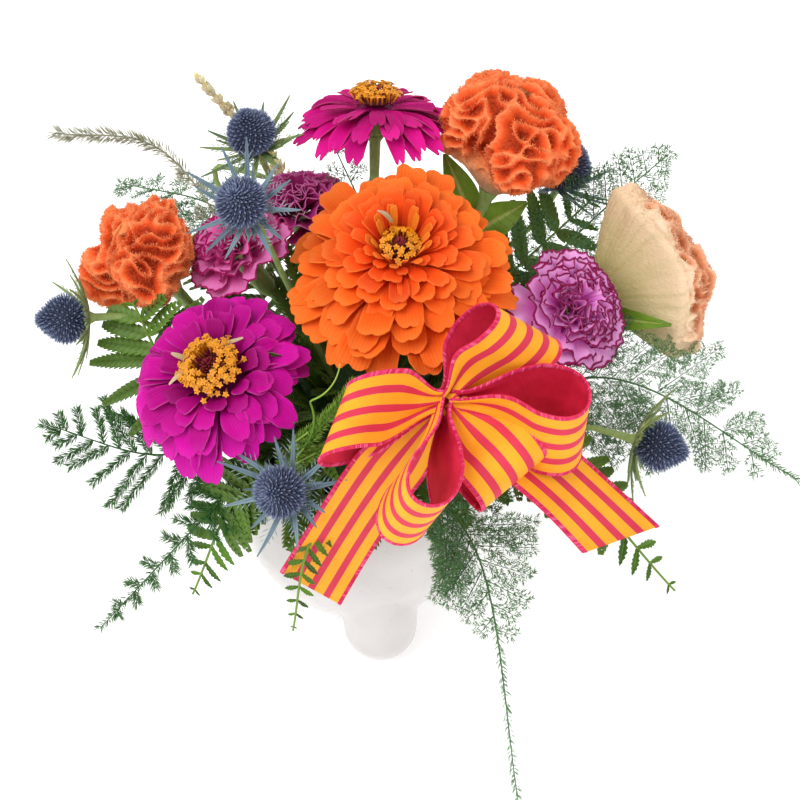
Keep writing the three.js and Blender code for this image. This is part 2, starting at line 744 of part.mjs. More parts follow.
const headSolids = {
  zinnia_orange: () =>
    zinnia(9, 11, [
      [12, 54, 2, 1],
      [12, 49, 9, 4.5],
      [11, 42, 15, 9],
      [9, 35, 20.5, 13.5],
      [8, 27, 25, 17.5],
      [6, 19, 28, 21],
    ]),
  zinnia_left: () => zinnia(13, 12, [[12, 46, 3, 1], [11, 41, 7.5, 4], [9, 34, 11, 7], [7, 26, 13, 9.5]]),
  zinnia_top: () => zinnia(9.5, 13, [[12, 36, -5, 1], [10, 30, 3, 4.5]]),
  carnation_right: () => carnationBloom(27, 21),
  carnation_top: () => carnationBloom(23, 22),
  carnation_left: () => carnationBloom(23, 23),
  celosia_top: () =>
    crest({
      rings: [
        [6, 0, 0],
        [14, 6, 0.06],
        [22, 13, 0.12],
        [28, 20, 0.16],
        [30, 28, 0.18],
        [29, 35, 0.2],
        [25, 42, 0.22],
        [17, 47, 0.24],
        [8, 48, 0.26],
      ],
      folds: 7,
      flatten: 0.8,
      seed: 31,
    }),
  celosia_left: () =>
    crest({
      rings: [
        [5, 0, 0],
        [12, 4, 0.06],
        [19, 10, 0.12],
        [24, 16, 0.16],
        [26, 22, 0.18],
        [25, 28, 0.2],
        [21, 33, 0.22],
        [14, 37, 0.24],
        [7, 38, 0.26],
      ],
      folds: 7,
      flatten: 0.8,
      seed: 32,
    }),
  celosia_fan: () =>
    crest({
      rings: [
        [4.4, 1, 0],
        [11, 9, 0.02],
        [20, 19, 0.03],
        [30, 29, 0.04],
        [39, 39, 0.05],
        [45, 46, 0.07],
        [43, 51, 0.1],
        [31, 54, 0.12],
        [12, 53, 0.1],
      ],
      folds: 8,
      flatten: 0.42,
      seed: 33,
      pivot: 10,
    }),
};
for (const name of Object.keys(HEADS)) {
  if (kindOf(name) === "thistle") headSolids[name] = () => studdedHead(10, 23);
}

const headPaint = {
  zinnia_orange: "orange_petals",
  zinnia_left: "magenta_petals",
  zinnia_top: "magenta_petals",
  carnation_right: "lilac_petals",
  carnation_top: "wine_petals",
  carnation_left: "pink_petals",
  celosia_top: "comb_orange",
  celosia_left: "comb_orange",
  celosia_fan: "comb_cream",
};

// The raised middle of each zinnia, studded with small open florets. base: its height in the flower.
const discs = {
  zinnia_orange: { base: 22 + GAP, radius: 8.5, height: 9 },
  zinnia_left: { base: 10.4 + GAP, radius: 12.5, height: 12 },
  zinnia_top: { base: 5.3 + GAP, radius: 9, height: 9 },
};

const BRACT_BASE = -1.2; // the star of bracts starts this much above the head's underside

const bractStar = () =>
  petalHead({ rows: [[8, 26, 9, 0]], core: 3, outline: BRACT, ridge: [0, 0.25, 0.4], seed: 51, uneven: 1.5 });

// Leaves on the stems. stretch: which point of the stem's path carries the leaf.
const STEM_LEAVES = {
  celosia_top: [
    { stretch: 4, along: V(-0.75, -0.3, 0.55).normalize(), length: 34, half: 7.5 },
    { stretch: 3, along: V(0.6, -0.65, 0.3).normalize(), length: 32, half: 7 },
  ],
  zinnia_top: [{ stretch: 3, along: V(0.8, 0.2, 0.1).normalize(), length: 30, half: 6.5 }],
};

// ---------------------------------------------------------------- assembly

const part = new THREE.Group();
part.name = "zinnia_arrangement";

const placed = []; // solids that the greenery keeps clear of
const touches = (a, b) => {
  const p = a.boundingBox();
  const q = b.boundingBox();
  if ([0, 1, 2].some((i) => p.min[i] > q.max[i] || q.min[i] > p.max[i])) return false;
  return a.intersect(b).volume() > 1e-6;
};
const isClear = (solid, own) => placed.every((other) => other.owner === own || !touches(solid, other.solid));

function add(name, paint, solid) {
  const mesh = new THREE.Mesh(geometryOf(largest(solid)), paints[paint]);
  mesh.name = name;
  part.add(mesh);
}

const vessel = bowl();
add("bowl", "bowl_glaze", vessel);
placed.push({ owner: "bowl", solid: vessel });

// Every stem, rib and the bow's pick starts in the foam in a direction of its own.
const fronds = { ...FERNS, ...SPRAYS };
const ends = [
  ...Object.keys(HEADS).map((name) => [name, HEADS[name].via ?? neckOf(name)]),
  ...Object.keys(fronds).map((name) => [name, fronds[name].mid]),
  ["pale_spike", SPIKE.mid],
  ["bow_pick", KNOT],
];
const directions = Object.fromEntries(
  spreadDirections(ends.map(([, end]) => end)).map((direction, i) => [ends[i][0], direction]),
);

// Bars: their paths, and a radius for each point of the path.
const bars = {};
for (const name of Object.keys(HEADS)) {
  const { via } = HEADS[name];
  const swelling = CALYXES[kindOf(name)];
  const straightEnd = swelling[0][0] + 0.12 * neckOf(name).distanceTo(FAN_CENTRE);
  const waypoints = [...(via ? [via] : []), below(name, straightEnd)];
  const path = stemPath(directions[name], waypoints, evenShares(4));
  const radii = path.map(() => STEM_RADIUS[kindOf(name)]);
  for (const [depth, radius] of swelling) {
    path.push(below(name, depth));
    radii.push(radius);
  }
  bars[name] = { path, radii };
}
const toKnot = KNOT.clone().sub(FAN_CENTRE).normalize();
const pickEnd = KNOT.clone().addScaledVector(toKnot, -KNOT_RADIUS - GAP);
const pickPath = stemPath(directions.bow_pick, [pickEnd], evenShares(3));
bars.bow_pick = { path: pickPath, radii: pickPath.map(() => PICK_RADIUS) };
const spikePath = stemPath(directions.pale_spike, [SPIKE.mid, SPIKE.tip], evenShares(14));
const SPIKE_BARE = 6; // points of bare stem, before the plume's tufts
const tuft = (i) => lerp(5, 1.6, (i - SPIKE_BARE) / 8) * (i % 2 ? 0.6 : 1);
bars.pale_spike = { path: spikePath, radii: spikePath.map((_, i) => (i < SPIKE_BARE ? 1.3 : tuft(i))) };

// Ribs: flat bars that have short stretches with a leaf on each side, and bare stretches between them.
const BARE_SHARE = 0.22; // of the bent part, before the first leaf
const FOOT = 3.4; // length of the stretch that a leaf stands on
const SHORTEST_LEAF = 5;
const ribs = {};
for (const [name, { mid, tip, pairs }] of Object.entries(fronds)) {
  const exit = FAN_CENTRE.clone().addScaledVector(directions[name], STEM_STRAIGHT);
  const length = exit.distanceTo(mid) + mid.distanceTo(tip);
  const shares = [0];
  for (let i = 0; i < pairs; i++) {
    const share = lerp(BARE_SHARE, 0.97, i / (pairs - 1));
    shares.push(share - (0.5 * FOOT) / length, share + (0.5 * FOOT) / length);
  }
  const path = stemPath(directions[name], [mid, tip], shares);
  const along = path.map((_, i) => i / (path.length - 1));
  ribs[name] = {
    path,
    widths: along.map((t) => lerp(2.6, 1.2, t)),
    thicknesses: along.map((t) => lerp(2.2, BLADE, t)),
  };
}

// The foam, with a plain hole for each of them.
const foamBottom = BOWL_RADIUS - BOWL_WALL - 2 * GAP;
const foamProfile = [0, 18, 36, 54]
  .map(degrees)
  .map((a) => [foamBottom * Math.sin(a), BOWL_CENTRE_Z - foamBottom * Math.cos(a)]);
foamProfile.push([FOAM_RADIUS, 44], [FOAM_RADIUS, RIM_Z]);
foamProfile.push([FOAM_RADIUS - 6, FOAM_TOP_Z - 10], [FOAM_RADIUS / 2, FOAM_TOP_Z - 2], [0, FOAM_TOP_Z]);
const holes = ends.map(([name]) => {
  const from = (distance) => FAN_CENTRE.clone().addScaledVector(directions[name], distance);
  const path = [from(STEM_START - GAP), ...(bars[name] ?? ribs[name]).path.slice(1, 3)];
  if (bars[name]) return bar(path, path.map(() => bars[name].radii[0] + 1.3 * GAP));
  const { widths, thicknesses } = ribs[name];
  const wider = path.map(() => widths[0] + 2 * GAP);
  const thicker = path.map(() => thicknesses[0] + 2 * GAP);
  return frond({ path, face: fronds[name].face, widths: wider, thicknesses: thicker, leaves: [] });
});
const foam = holes.reduce((solid, hole) => solid.subtract(hole), lathe(foamProfile, ROUND));
add("foam", "floral_foam", foam);
placed.push({ owner: "foam", solid: foam });

for (const [name, { at, face, roll }] of Object.entries(HEADS)) {
  const frame = standing(at, face, roll);
  const raised = (height) => frame.clone().multiply(new Matrix4().makeTranslation(0, 0, height));
  const kind = kindOf(name);
  const head = moved(headSolids[name](), frame);
  add(name, headPaint[name] ?? "thistle_blue", head);
  placed.push({ owner: name, solid: kind === "thistle" ? head : head.hull() });
  if (discs[name]) {
    const { base, radius, height } = discs[name];
    add(name + "_disc", "flower_disc", moved(studdedHead(radius, height, 4, 0.62), raised(base)));
  }
  const { path, radii } = bars[name];
  const extras = (STEM_LEAVES[name] ?? []).map((leaf) =>
    looseLeaf({ ...leaf, form: pointedLeaf, at: path[leaf.stretch], face: V(0, 0, 1), sag: 0.1 }),
  );
  if (kind === "thistle") extras.push(moved(bractStar(), raised(BRACT_BASE)));
  const stem = joined([bar(path, radii), ...extras]);
  if (kind === "thistle") add(name + "_bracts", "bract_blue_green", stem);
  else add(name + "_stem", "stem_green", stem);
  placed.push({ owner: name, solid: stem });
}

const bow = ribbonBow();
add("ribbon_bow", "ribbon_cloth", bow);
placed.push({ owner: "ribbon_bow", solid: bow });
for (const [name, paint] of [["bow_pick", "pick_wood"], ["pale_spike", "spike_cream"]]) {
  const solid = bar(bars[name].path, bars[name].radii);
  add(name, paint, solid);
  placed.push({ owner: name, solid });
}
for (const [name, { face }] of Object.entries(fronds)) {
  placed.push({ owner: name, solid: frond({ ...ribs[name], face, leaves: [] }) });
}

// Side leaves along a rib, each made shorter until it is clear of everything already there.
function foliage(name, { form, lengthAt, half, lean, sag, seed }) {
  const random = randomFrom(seed);
  const { path, widths } = ribs[name];
  const { face } = fronds[name];
  const leaves = [];
  for (let foot = 0; foot < 2 * fronds[name].pairs; foot++) {
    const stretch = 2 + 2 * Math.floor(foot / 2);
    const hand = foot % 2 ? 1 : -1;
    const t = foot / (2 * fronds[name].pairs - 1);
    const tangent = path[stretch + 1].clone().sub(path[stretch]).normalize();
    const side = face.clone().cross(tangent).normalize().multiplyScalar(hand);
    const along = side.clone().addScaledVector(tangent, lean + 0.25 * random()).normalize();
    const middle = path[stretch].clone().lerp(path[stretch + 1], 0.5);
    const at = middle.addScaledVector(side, 0.5 * widths[stretch]);
    const full = lengthAt(t) * lerp(0.88, 1, random());
    for (const share of [1, 0.8, 0.6, 0.4]) {
      const spec = { form, at, along, face, length: full * share, half: half * lerp(0.7, 1, share), sag };
      if (spec.length < SHORTEST_LEAF) break;
      const room = { ...spec, length: spec.length + CLEAR, half: spec.half + 0.5 };
      if (!isClear(looseLeaf(room, BLADE + 2 * CLEAR), name)) continue;
      leaves.push({ stretch, hand, leaf: form(spec) });
      placed.push({ owner: name, solid: looseLeaf(spec) });
      break;
    }
  }
  return frond({ ...ribs[name], face, leaves });
}

Object.entries(FERNS).forEach(([name, { reach }], k) => {
  const lengthAt = (t) => reach * Math.sin(Math.PI * lerp(0.25, 0.95, t)) ** 0.8;
  const half = 0.1 * reach + 2.2;
  const leaves = { form: pointedLeaf, lengthAt, half, lean: 0.45, sag: 0.1, seed: 41 + k };
  add(name, "fern_green", foliage(name, leaves));
});
Object.entries(SPRAYS).forEach(([name, { reach }], k) => {
  const lengthAt = (t) => reach * Math.sin(Math.PI * lerp(0.3, 0.93, t)) ** 0.7;
  const leaves = { form: plume, lengthAt, half: 3.4, lean: 0.8, sag: 0.12, seed: 61 + k };
  add(name, "asparagus_green", foliage(name, leaves));
});

// The frame's origin: on the table under the middle of everything.
const span = new THREE.Box3().setFromObject(part);
const shift = span.getCenter(V(0, 0, 0)).setZ(span.min.z).negate();
part.children.forEach((mesh) => mesh.geometry.translate(shift.x, shift.y, shift.z));

export default part;
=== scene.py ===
"""Looks of the zinnia arrangement: its blooms, greens, bow and bowl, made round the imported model.

Lengths are in millimetres and places are given from the table under the middle of the bowl; a piece is
moved into the model's frame, in metres, when its mesh is made. The pieces stand for the model's solids
and keep their places and forms. Leaves, sprigs, fern tips and dry petals are added to them.
"""
import math

import bpy
import numpy as np
from mathutils import Matrix, Vector


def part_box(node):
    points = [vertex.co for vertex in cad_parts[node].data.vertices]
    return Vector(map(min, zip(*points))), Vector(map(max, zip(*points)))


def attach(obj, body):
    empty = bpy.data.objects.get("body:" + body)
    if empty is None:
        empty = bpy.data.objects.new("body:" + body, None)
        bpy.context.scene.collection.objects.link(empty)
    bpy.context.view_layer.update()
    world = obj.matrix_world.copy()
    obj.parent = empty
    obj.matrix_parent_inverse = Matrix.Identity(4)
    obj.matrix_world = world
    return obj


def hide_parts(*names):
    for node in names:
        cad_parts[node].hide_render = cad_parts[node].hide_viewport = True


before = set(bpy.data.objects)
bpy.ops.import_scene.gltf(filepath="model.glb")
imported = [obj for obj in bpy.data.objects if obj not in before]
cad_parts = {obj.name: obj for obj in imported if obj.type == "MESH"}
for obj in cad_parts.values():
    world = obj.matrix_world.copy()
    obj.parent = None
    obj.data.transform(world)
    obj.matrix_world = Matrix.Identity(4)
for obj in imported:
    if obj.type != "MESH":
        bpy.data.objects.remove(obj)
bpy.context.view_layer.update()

MM = 0.001
TAU = 2 * math.pi
GOLDEN_TURN = 0.381966 * TAU

# -------- small helpers


def vec(*xyz):
    return np.array(xyz, dtype=float)


def length_of(v):
    return np.sqrt((v * v).sum(axis=-1, keepdims=True))


def unit(v):
    return v / np.maximum(length_of(v), 1e-9)


def lerp(a, b, t):
    return a + (b - a) * t


def smooth(t):
    t = np.clip(t, 0, 1)
    return t * t * (3 - 2 * t)


def bulge(low, high, t):
    """A half wave of a sine, from its share low at 0 to its share high at 1."""
    return np.sin(math.pi * lerp(low, high, t))


def grid_axes(rows, columns):
    """Shares of the way along, 0 to 1, and across, -1 to 1, for grids shaped (blade, row, column)."""
    return np.linspace(0, 1, rows)[None, :, None], np.linspace(-1, 1, columns)[None, None, :]


def vector_axes(rows, columns):
    """The same, with room for the three numbers of each point."""
    return [share[..., None] for share in grid_axes(rows, columns)]


def leaf_axes(along, face):
    """The way across a leaf, and the way up from it, on the side that its face gives."""
    side = unit(np.cross(face, along))
    return side, np.cross(along, side)


def turned(x, y, z, angle):
    """Points at x, y and z, turned about the Z axis."""
    ahead = x * np.cos(angle) - y * np.sin(angle)
    aside = x * np.sin(angle) + y * np.cos(angle)
    return np.stack(np.broadcast_arrays(ahead, aside, z), axis=-1)


def draw_each(rng, count):
    """A function that draws one number between two limits for each of the blades of a grid."""
    return lambda low, high: rng.uniform(low, high, count)[:, None, None]


def middle_of(node):
    low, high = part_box(node)
    return [(low[i] + high[i]) / (2 * MM) for i in range(3)]


# The table under the middle of the bowl, in the model's frame.
TABLE = vec(*middle_of("bowl")[:2], 0)

# The picture plane of somebody looking down at the flowers at 45 degrees.
RIGHT = vec(1, 0, 0)
UP = unit(vec(0, 1, 1))
NEAR = unit(vec(0, -1, 1))


def seen(right, up, near):
    return right * RIGHT + up * UP + near * NEAR


# -------- where things stand, as in the model

FAN_CENTRE = vec(0, 0, 105)
STEM_START = 22
STEM_STRAIGHT = 54
CUT_END_REACH = 28
KNOT = vec(36, -72, 200)
RIM_Z = 118


def bloom(at, face, roll=0, via=None):
    """Its underside's middle, the way it looks, its turn about that, and where its stem passes."""
    return dict(at=vec(*at), face=vec(*face), roll=roll, via=[] if via is None else [vec(*via)])


HEADS = {
    "zinnia_orange": bloom((17, 1, 203), (0, -0.25, 0.97)),
    "zinnia_left": bloom((-59, -39, 178), (-0.27, -0.35, 0.9), 10),
    "zinnia_top": bloom((6, 82, 228), (0.02, 0.38, 0.92)),
    "carnation_right": bloom((88, 6, 176), (0.55, -0.35, 0.75)),
    "carnation_top": bloom((-28, 70, 173), (-0.2, 0.2, 0.95), 30),
    "carnation_left": bloom((-53, 34, 183), (-0.5, -0.05, 0.86), 70),
    "celosia_top": bloom((58, 66, 199), (0.3, 0.2, 0.93)),
    "celosia_left": bloom((-87, 32, 171), (-0.5, -0.05, 0.86)),
    "celosia_fan": bloom((103, 34, 161), (0.86, -0.05, 0.5), 50),
    "thistle_front": bloom((-48, 3, 240), (-0.2, -0.5, 0.84)),
    "thistle_top": bloom((-47, 68, 221), (-0.25, -0.1, 0.96), 20, (-68, 79, 199)),
    "thistle_far_left": bloom((-121, 0, 180), (-0.95, -0.2, 0.12)),
    "thistle_low": bloom((-31, -79, 153), (-0.3, -0.7, 0.66), 48),
    "thistle_right": bloom((120, -52, 156), (0.93, -0.32, -0.05)),
    "thistle_back": bloom((91, 84, 186), (0.4, 0.1, 0.9)),
}


def green(mid, tip, face, reach, pairs, **more):
    """A frond: its rib passes mid and ends at tip, face is its upper side, reach its longest side leaf."""
    return dict(mid=vec(*mid), tip=vec(*tip), face=unit(vec(*face)), reach=reach, pairs=pairs, **more)


def feathery(*frond, paint="needles", **more):
    """A spray whose plumes have branchlets of needles."""
    return green(*frond, feathery=True, paint=paint, **more)


def bristly(*frond, **more):
    """A spray whose plumes carry their needles themselves."""
    return green(*frond, feathery=False, paint="dark_needles", **more)


FERNS = {
    "fern_left": green((-84, -9, 156), (-101, 4, 186), (-0.5, -0.4, 0.8), 38, 9),
    "fern_low_left": green((-54, -54, 122), (-77, -66, 70), (-0.55, -0.8, 0.4), 22, 13),
    "fern_front": green((-22, -90, 130), (-30, -99, 84), (-0.2, -0.9, 0.5), 11, 11),
    "fern_right_top": green((64, 46, 160), (106, 74, 186), (0.1, -0.5, 0.85), 34, 10),
    "fern_right_low": green((82, -54, 144), (140, -76, 84), (0.3, -0.4, 0.8), 26, 14),
    "fern_centre": green((-20, -52, 146), (-42, -66, 128), (-0.3, -0.6, 0.7), 18, 8),
    "fern_back_left": green((-52, 66, 142), (-92, 112, 132), (-0.3, 0.3, 0.9), 30, 11),
    "fern_back": green((6, 80, 146), (10, 142, 136), (0, 0.3, 0.95), 32, 11),
    "fern_back_right": green((60, 62, 136), (104, 108, 118), (0.3, 0.3, 0.9), 30, 11),
}

# brush: the share of the rib at which its plumes end, and the length of the rib's own needles.
# needled: the share of the rib from which it carries them, when that isn't where the plumes end.
# upper: how short its first plumes on one side are, where they would lie in front of a flower.
SPRAYS = {
    "spray_top_left": feathery(
        (-92, 82, 208), (-137, 71, 227), (0, -0.6, 0.8), 13, 3, paint="pale_needles", brush=(0.6, 7.0)
    ),
    "spray_top": feathery((6, 52, 176), (-15, 94, 206), (0, -0.7, 0.7), 26, 7),
    "spray_top_right": feathery((102, 57, 184), (140, 88, 200), (0, -0.6, 0.8), 34, 10),
    "spray_right": feathery(
        (112, -14, 156), (196, -36, 114), (0.2, -0.5, 0.8), 54, 13, brush=(0.93, 4.0), upper=0.4
    ),
    "spray_low": feathery((50, -94, 130), (70, -152, 24), (0.2, -0.9, 0.3), 46, 10, brush=(0.78, 4.4)),
    "spray_low_left": bristly(
        (-66, -56, 116), (-121, -66, 46), (-0.4, -0.8, 0.4), 16, 10, brush=(0.95, 4.4), needled=0.42
    ),
    "spray_left": bristly((-92, -34, 128), (-139, -24, 136), (-0.1, -0.6, 0.8), 34, 10),
    "spray_back_left": feathery((-66, 96, 158), (-118, 128, 150), (-0.2, 0.2, 0.95), 36, 8),
}

SPIKE_WAY = [vec(-38, 105, 171), vec(-75, 92, 244)]

# -------- meshes

SHARP_ANGLE = math.radians(55)


def add_object(name, data):
    obj = bpy.data.objects.new(name, data)
    bpy.context.scene.collection.objects.link(obj)
    return obj


class Skin:
    """The vertices, faces and per-vertex values of one piece while it is made."""

    VALUES = ("along", "across", "chance", "under", "layer")

    def __init__(self):
        self.points = []
        self.faces = []
        self.values = {key: [] for key in self.VALUES}
        self.count = 0
        self.at = vec(0, 0, 0)
        self.basis = np.eye(3)

    def stand(self, at, axis, roll=0):
        """What is added from here on stands at a point, with its Z along an axis."""
        z = unit(axis)
        hint = vec(0, 1, 0) if abs(z[2]) > 0.95 else vec(0, 0, 1)
        x = unit(np.cross(hint, z))
        y = np.cross(z, x)
        turn = math.radians(roll)
        x, y = math.cos(turn) * x + math.sin(turn) * y, math.cos(turn) * y - math.sin(turn) * x
        self.at = at
        self.basis = np.stack([x, y, z])

    def stand_on(self, name, lift=0):
        """The same for the underside of a bloom, or for a place that far from it the way it looks."""
        head = HEADS[name]
        self.stand(head["at"] + lift * unit(head["face"]), head["face"], head["roll"])
        return self

    def add(self, points, faces, **values):
        """points: any array of them. faces: arrays of corners, counted in the order of the points."""
        shape = points.shape[:-1]
        flat = points.reshape(-1, 3) @ self.basis + self.at
        self.points.append(flat)
        for block in faces:
            self.faces.extend((block + self.count).tolist())
        for key in self.VALUES:
            self.values[key].append(np.broadcast_to(values.get(key, 0.0), shape).ravel())
        self.count += len(flat)

    def mesh(self, name):
        mesh = bpy.data.meshes.new(name)
        mesh.from_pydata(((np.concatenate(self.points) + TABLE) * MM).tolist(), [], self.faces)
        for key, chunks in self.values.items():
            layer = mesh.attributes.new(key, "FLOAT", "POINT")
            layer.data.foreach_set("value", np.concatenate(chunks).astype(np.float32))
        mesh.shade_smooth()
        mesh.set_sharp_from_angle(angle=SHARP_ANGLE)
        return mesh

    def piece(self, name, paint, slot, *replaced):
        return dress(add_object(name, self.mesh(name)), PAINTS[paint], slot, *replaced)


def dress(obj, paint, slot, *replaced):
    """Gives a new piece its material, puts it under the root body and hides the nodes that it stands for."""
    obj.data.materials.clear()
    obj.data.materials.append(paint)
    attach(obj, "root")
    if replaced:
        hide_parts(*replaced)
    return obj


def numbered(template, count, size):
    """The faces of one blade or rod, repeated for all of them."""
    block = np.array(template)
    return (block[None] + (np.arange(count) * size)[:, None, None]).reshape(-1, block.shape[1])


def spread_over(values, axes):
    """Values given per blade or rod, with room for the points of each."""
    return {key: np.expand_dims(value, axes) if np.ndim(value) else value for key, value in values.items()}


def ring_faces(rings, sides):
    """The quads between rings of points, and the caps on the first and the last of them."""
    i, k = np.indices((rings - 1, sides))
    a = i * sides + k
    b = i * sides + (k + 1) % sides
    quads = np.stack([a, b, b + sides, a + sides], axis=-1).reshape(-1, 4)
    turn = np.arange(sides)
    return quads, np.stack([turn[::-1], turn + (rings - 1) * sides])


def add_blades(skin, grid, thickness, **values):
    """Thin closed blades round grids of points, shaped (blade, row, column, 3)."""
    count, rows, columns = grid.shape[:3]
    half = 0.5 * thickness * unit(np.cross(np.gradient(grid, axis=1), np.gradient(grid, axis=2)))
    shell = np.stack([grid + half, grid - half], axis=1)
    size = rows * columns
    template = []
    for i in range(rows - 1):
        for j in range(columns - 1):
            a = i * columns + j
            d = a + columns
            template.append([a, d, d + 1, a + 1])
            template.append([size + a, size + a + 1, size + d + 1, size + d])
    rim = [i * columns for i in range(rows)]
    rim += [(rows - 1) * columns + j for j in range(1, columns)]
    rim += [i * columns + columns - 1 for i in range(rows - 2, -1, -1)]
    rim += list(range(columns - 2, 0, -1))
    template += [[b, a, size + a, size + b] for a, b in zip(rim, rim[1:] + rim[:1])]
    spread = spread_over(values, 1)
    spread["under"] = np.array([0.0, 1.0])[None, :, None, None]
    skin.add(shell, [numbered(template, count, 2 * size)], **spread)


def side_axes(axis):
    """Two axes at right angles to each of many directions."""
    helper = np.where(np.abs(axis[:, 2:]) > 0.9, vec(1, 0, 0), vec(0, 0, 1))
    side = unit(np.cross(axis, helper))
    return side, np.cross(axis, side)


NEEDLE_WAIST = 0.45
NEEDLE_FACES = [[2, 1, 0], [3, 2, 0], [1, 3, 0], [1, 2, 4], [2, 3, 4], [3, 1, 4]]


def add_needles(skin, roots, tips, radius, **values):
    """Three-sided closed needles, thickest at NEEDLE_WAIST of their length and pointed at both ends."""
    side, up = side_axes(unit(tips - roots))
    waist = lerp(roots, tips, NEEDLE_WAIST)
    ring = [waist + radius * (math.cos(a) * side + math.sin(a) * up) for a in (0, TAU / 3, 2 * TAU / 3)]
    points = np.stack([roots, *ring, tips], axis=1)
    spread = spread_over(values, 1)
    spread.setdefault("along", np.array([0, *[NEEDLE_WAIST] * 3, 1])[None])
    skin.add(points, [numbered(NEEDLE_FACES, len(roots), 5)], **spread)


# Profiles of rods: the share of the way and the share of the radius of each ring.
TUBULAR = ((0, 0.6), (1, 1.1))
SCALE = ((0, 1), (0.6, 0.8), (1, 0.25))
BUD = ((0, 0.8), (0.45, 1), (0.75, 0.7), (1, 0.12))
TUFT = ((0, 0.5), (0.5, 1), (1, 0.15))
STITCH = ((0, 0.35), (0.2, 1), (0.8, 1), (1, 0.35))


def add_rods(skin, roots, tips, radius, profile, sides=6, **values):
    """Round rods of one profile."""
    side, up = side_axes(unit(tips - roots))
    count, rings = len(roots), len(profile)
    turn = np.arange(sides) * TAU / sides
    out = np.cos(turn)[:, None] * side[:, None] + np.sin(turn)[:, None] * up[:, None]
    share, swell = (np.array(column)[None, :, None, None] for column in zip(*profile))
    radius = np.broadcast_to(radius, count)[:, None, None, None]
    points = lerp(roots[:, None, None], tips[:, None, None], share) + radius * swell * out[:, None]
    spread = spread_over(values, (1, 2))
    spread.setdefault("along", share[..., 0])
    skin.add(points, [numbered(part, count, rings * sides) for part in ring_faces(rings, sides)], **spread)


def add_tube(skin, path, radii, sides=10, **values):
    """A round bar along one path, with a radius at each of its points."""
    tangent = unit(np.gradient(path, axis=0))
    side = side_axes(tangent[:1])[0][0]
    rings = []
    turn = np.arange(sides)[:, None] * TAU / sides
    for point, direction, radius in zip(path, tangent, radii):
        side = unit(side - direction * (side @ direction))
        up = np.cross(direction, side)
        rings.append(point + radius * (np.cos(turn) * side + np.sin(turn) * up))
    values.setdefault("along", np.linspace(0, 1, len(path))[:, None])
    skin.add(np.stack(rings), ring_faces(len(path), sides), **values)


def add_dome(skin, radius, height, rings=10, sides=24, power=1.0, **values):
    """An egg-shaped lump standing on the origin."""
    t = np.linspace(0.02, 0.98, rings)[:, None]
    a = np.arange(sides)[None] * TAU / sides
    r = radius * np.sin(math.pi * t**power)
    skin.add(turned(r, 0, height * t, a), ring_faces(rings, sides), **values)


def curve(points, shares):
    """The centripetal Catmull-Rom curve through the points, at shares of its stretches from 0 to 1."""
    points = np.asarray(points)
    ends = [2 * points[0] - points[1], *points, 2 * points[-1] - points[-2]]
    found = []
    for share in shares:
        place = min(share, 1 - 1e-9) * (len(points) - 1)
        i = int(place)
        t = place - i
        p0, p1, p2, p3 = ends[i : i + 4]
        d0, d1, d2 = (max(math.sqrt(math.dist(a, b)), 1e-4) for a, b in ((p0, p1), (p1, p2), (p2, p3)))
        t1 = d1 * ((p1 - p0) / d0 - (p2 - p0) / (d0 + d1) + (p2 - p1) / d1)
        t2 = d1 * ((p2 - p1) / d1 - (p3 - p1) / (d1 + d2) + (p3 - p2) / d2)
        cubic = 2 * p1 - 2 * p2 + t1 + t2
        square = -3 * p1 + 3 * p2 - 2 * t1 - t2
        found.append(p1 + t * (t1 + t * (square + t * cubic)))
    return np.array(found)


def exit_direction(node):
    """The way a stem leaves the foam, from the points at the cut end of the model's stem."""
    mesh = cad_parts[node].data
    points = np.array([v.co for v in mesh.vertices]) / MM - TABLE
    points = np.unique(points.round(2), axis=0)
    cut_end = length_of(points - FAN_CENTRE)[:, 0] < CUT_END_REACH
    return unit(points[cut_end].mean(axis=0) - FAN_CENTRE)


def stem_curve(node, waypoints, count):
    """Points along a stem, from its cut end by way of its exit from the foam."""
    direction = exit_direction(node)
    points = [FAN_CENTRE + STEM_START * direction, FAN_CENTRE + STEM_STRAIGHT * direction, *waypoints]
    return curve(points, np.linspace(0, 1, count))


def tangent_at(path, place):
    return unit(path[min(place + 1, len(path) - 1)] - path[place - 1])


def labyrinth(points, spacing, rng, waves=16):
    """A winding up-and-down pattern in space, about -1 to 1, its valleys and crests a spacing apart."""
    directions = unit(rng.normal(size=(waves, 3)))
    phases = rng.uniform(0, TAU, waves)
    return np.cos(points @ directions.T * (math.pi / spacing) + phases).sum(axis=-1) * math.sqrt(2 / waves)


# -------- materials


def colour(text):
    """A #rrggbb colour as Blender's linear numbers."""
    parts = [int(text[i : i + 2], 16) / 255 for i in (1, 3, 5)]
    return (*[c / 12.92 if c <= 0.04045 else ((c + 0.055) / 1.055) ** 2.4 for c in parts], 1)


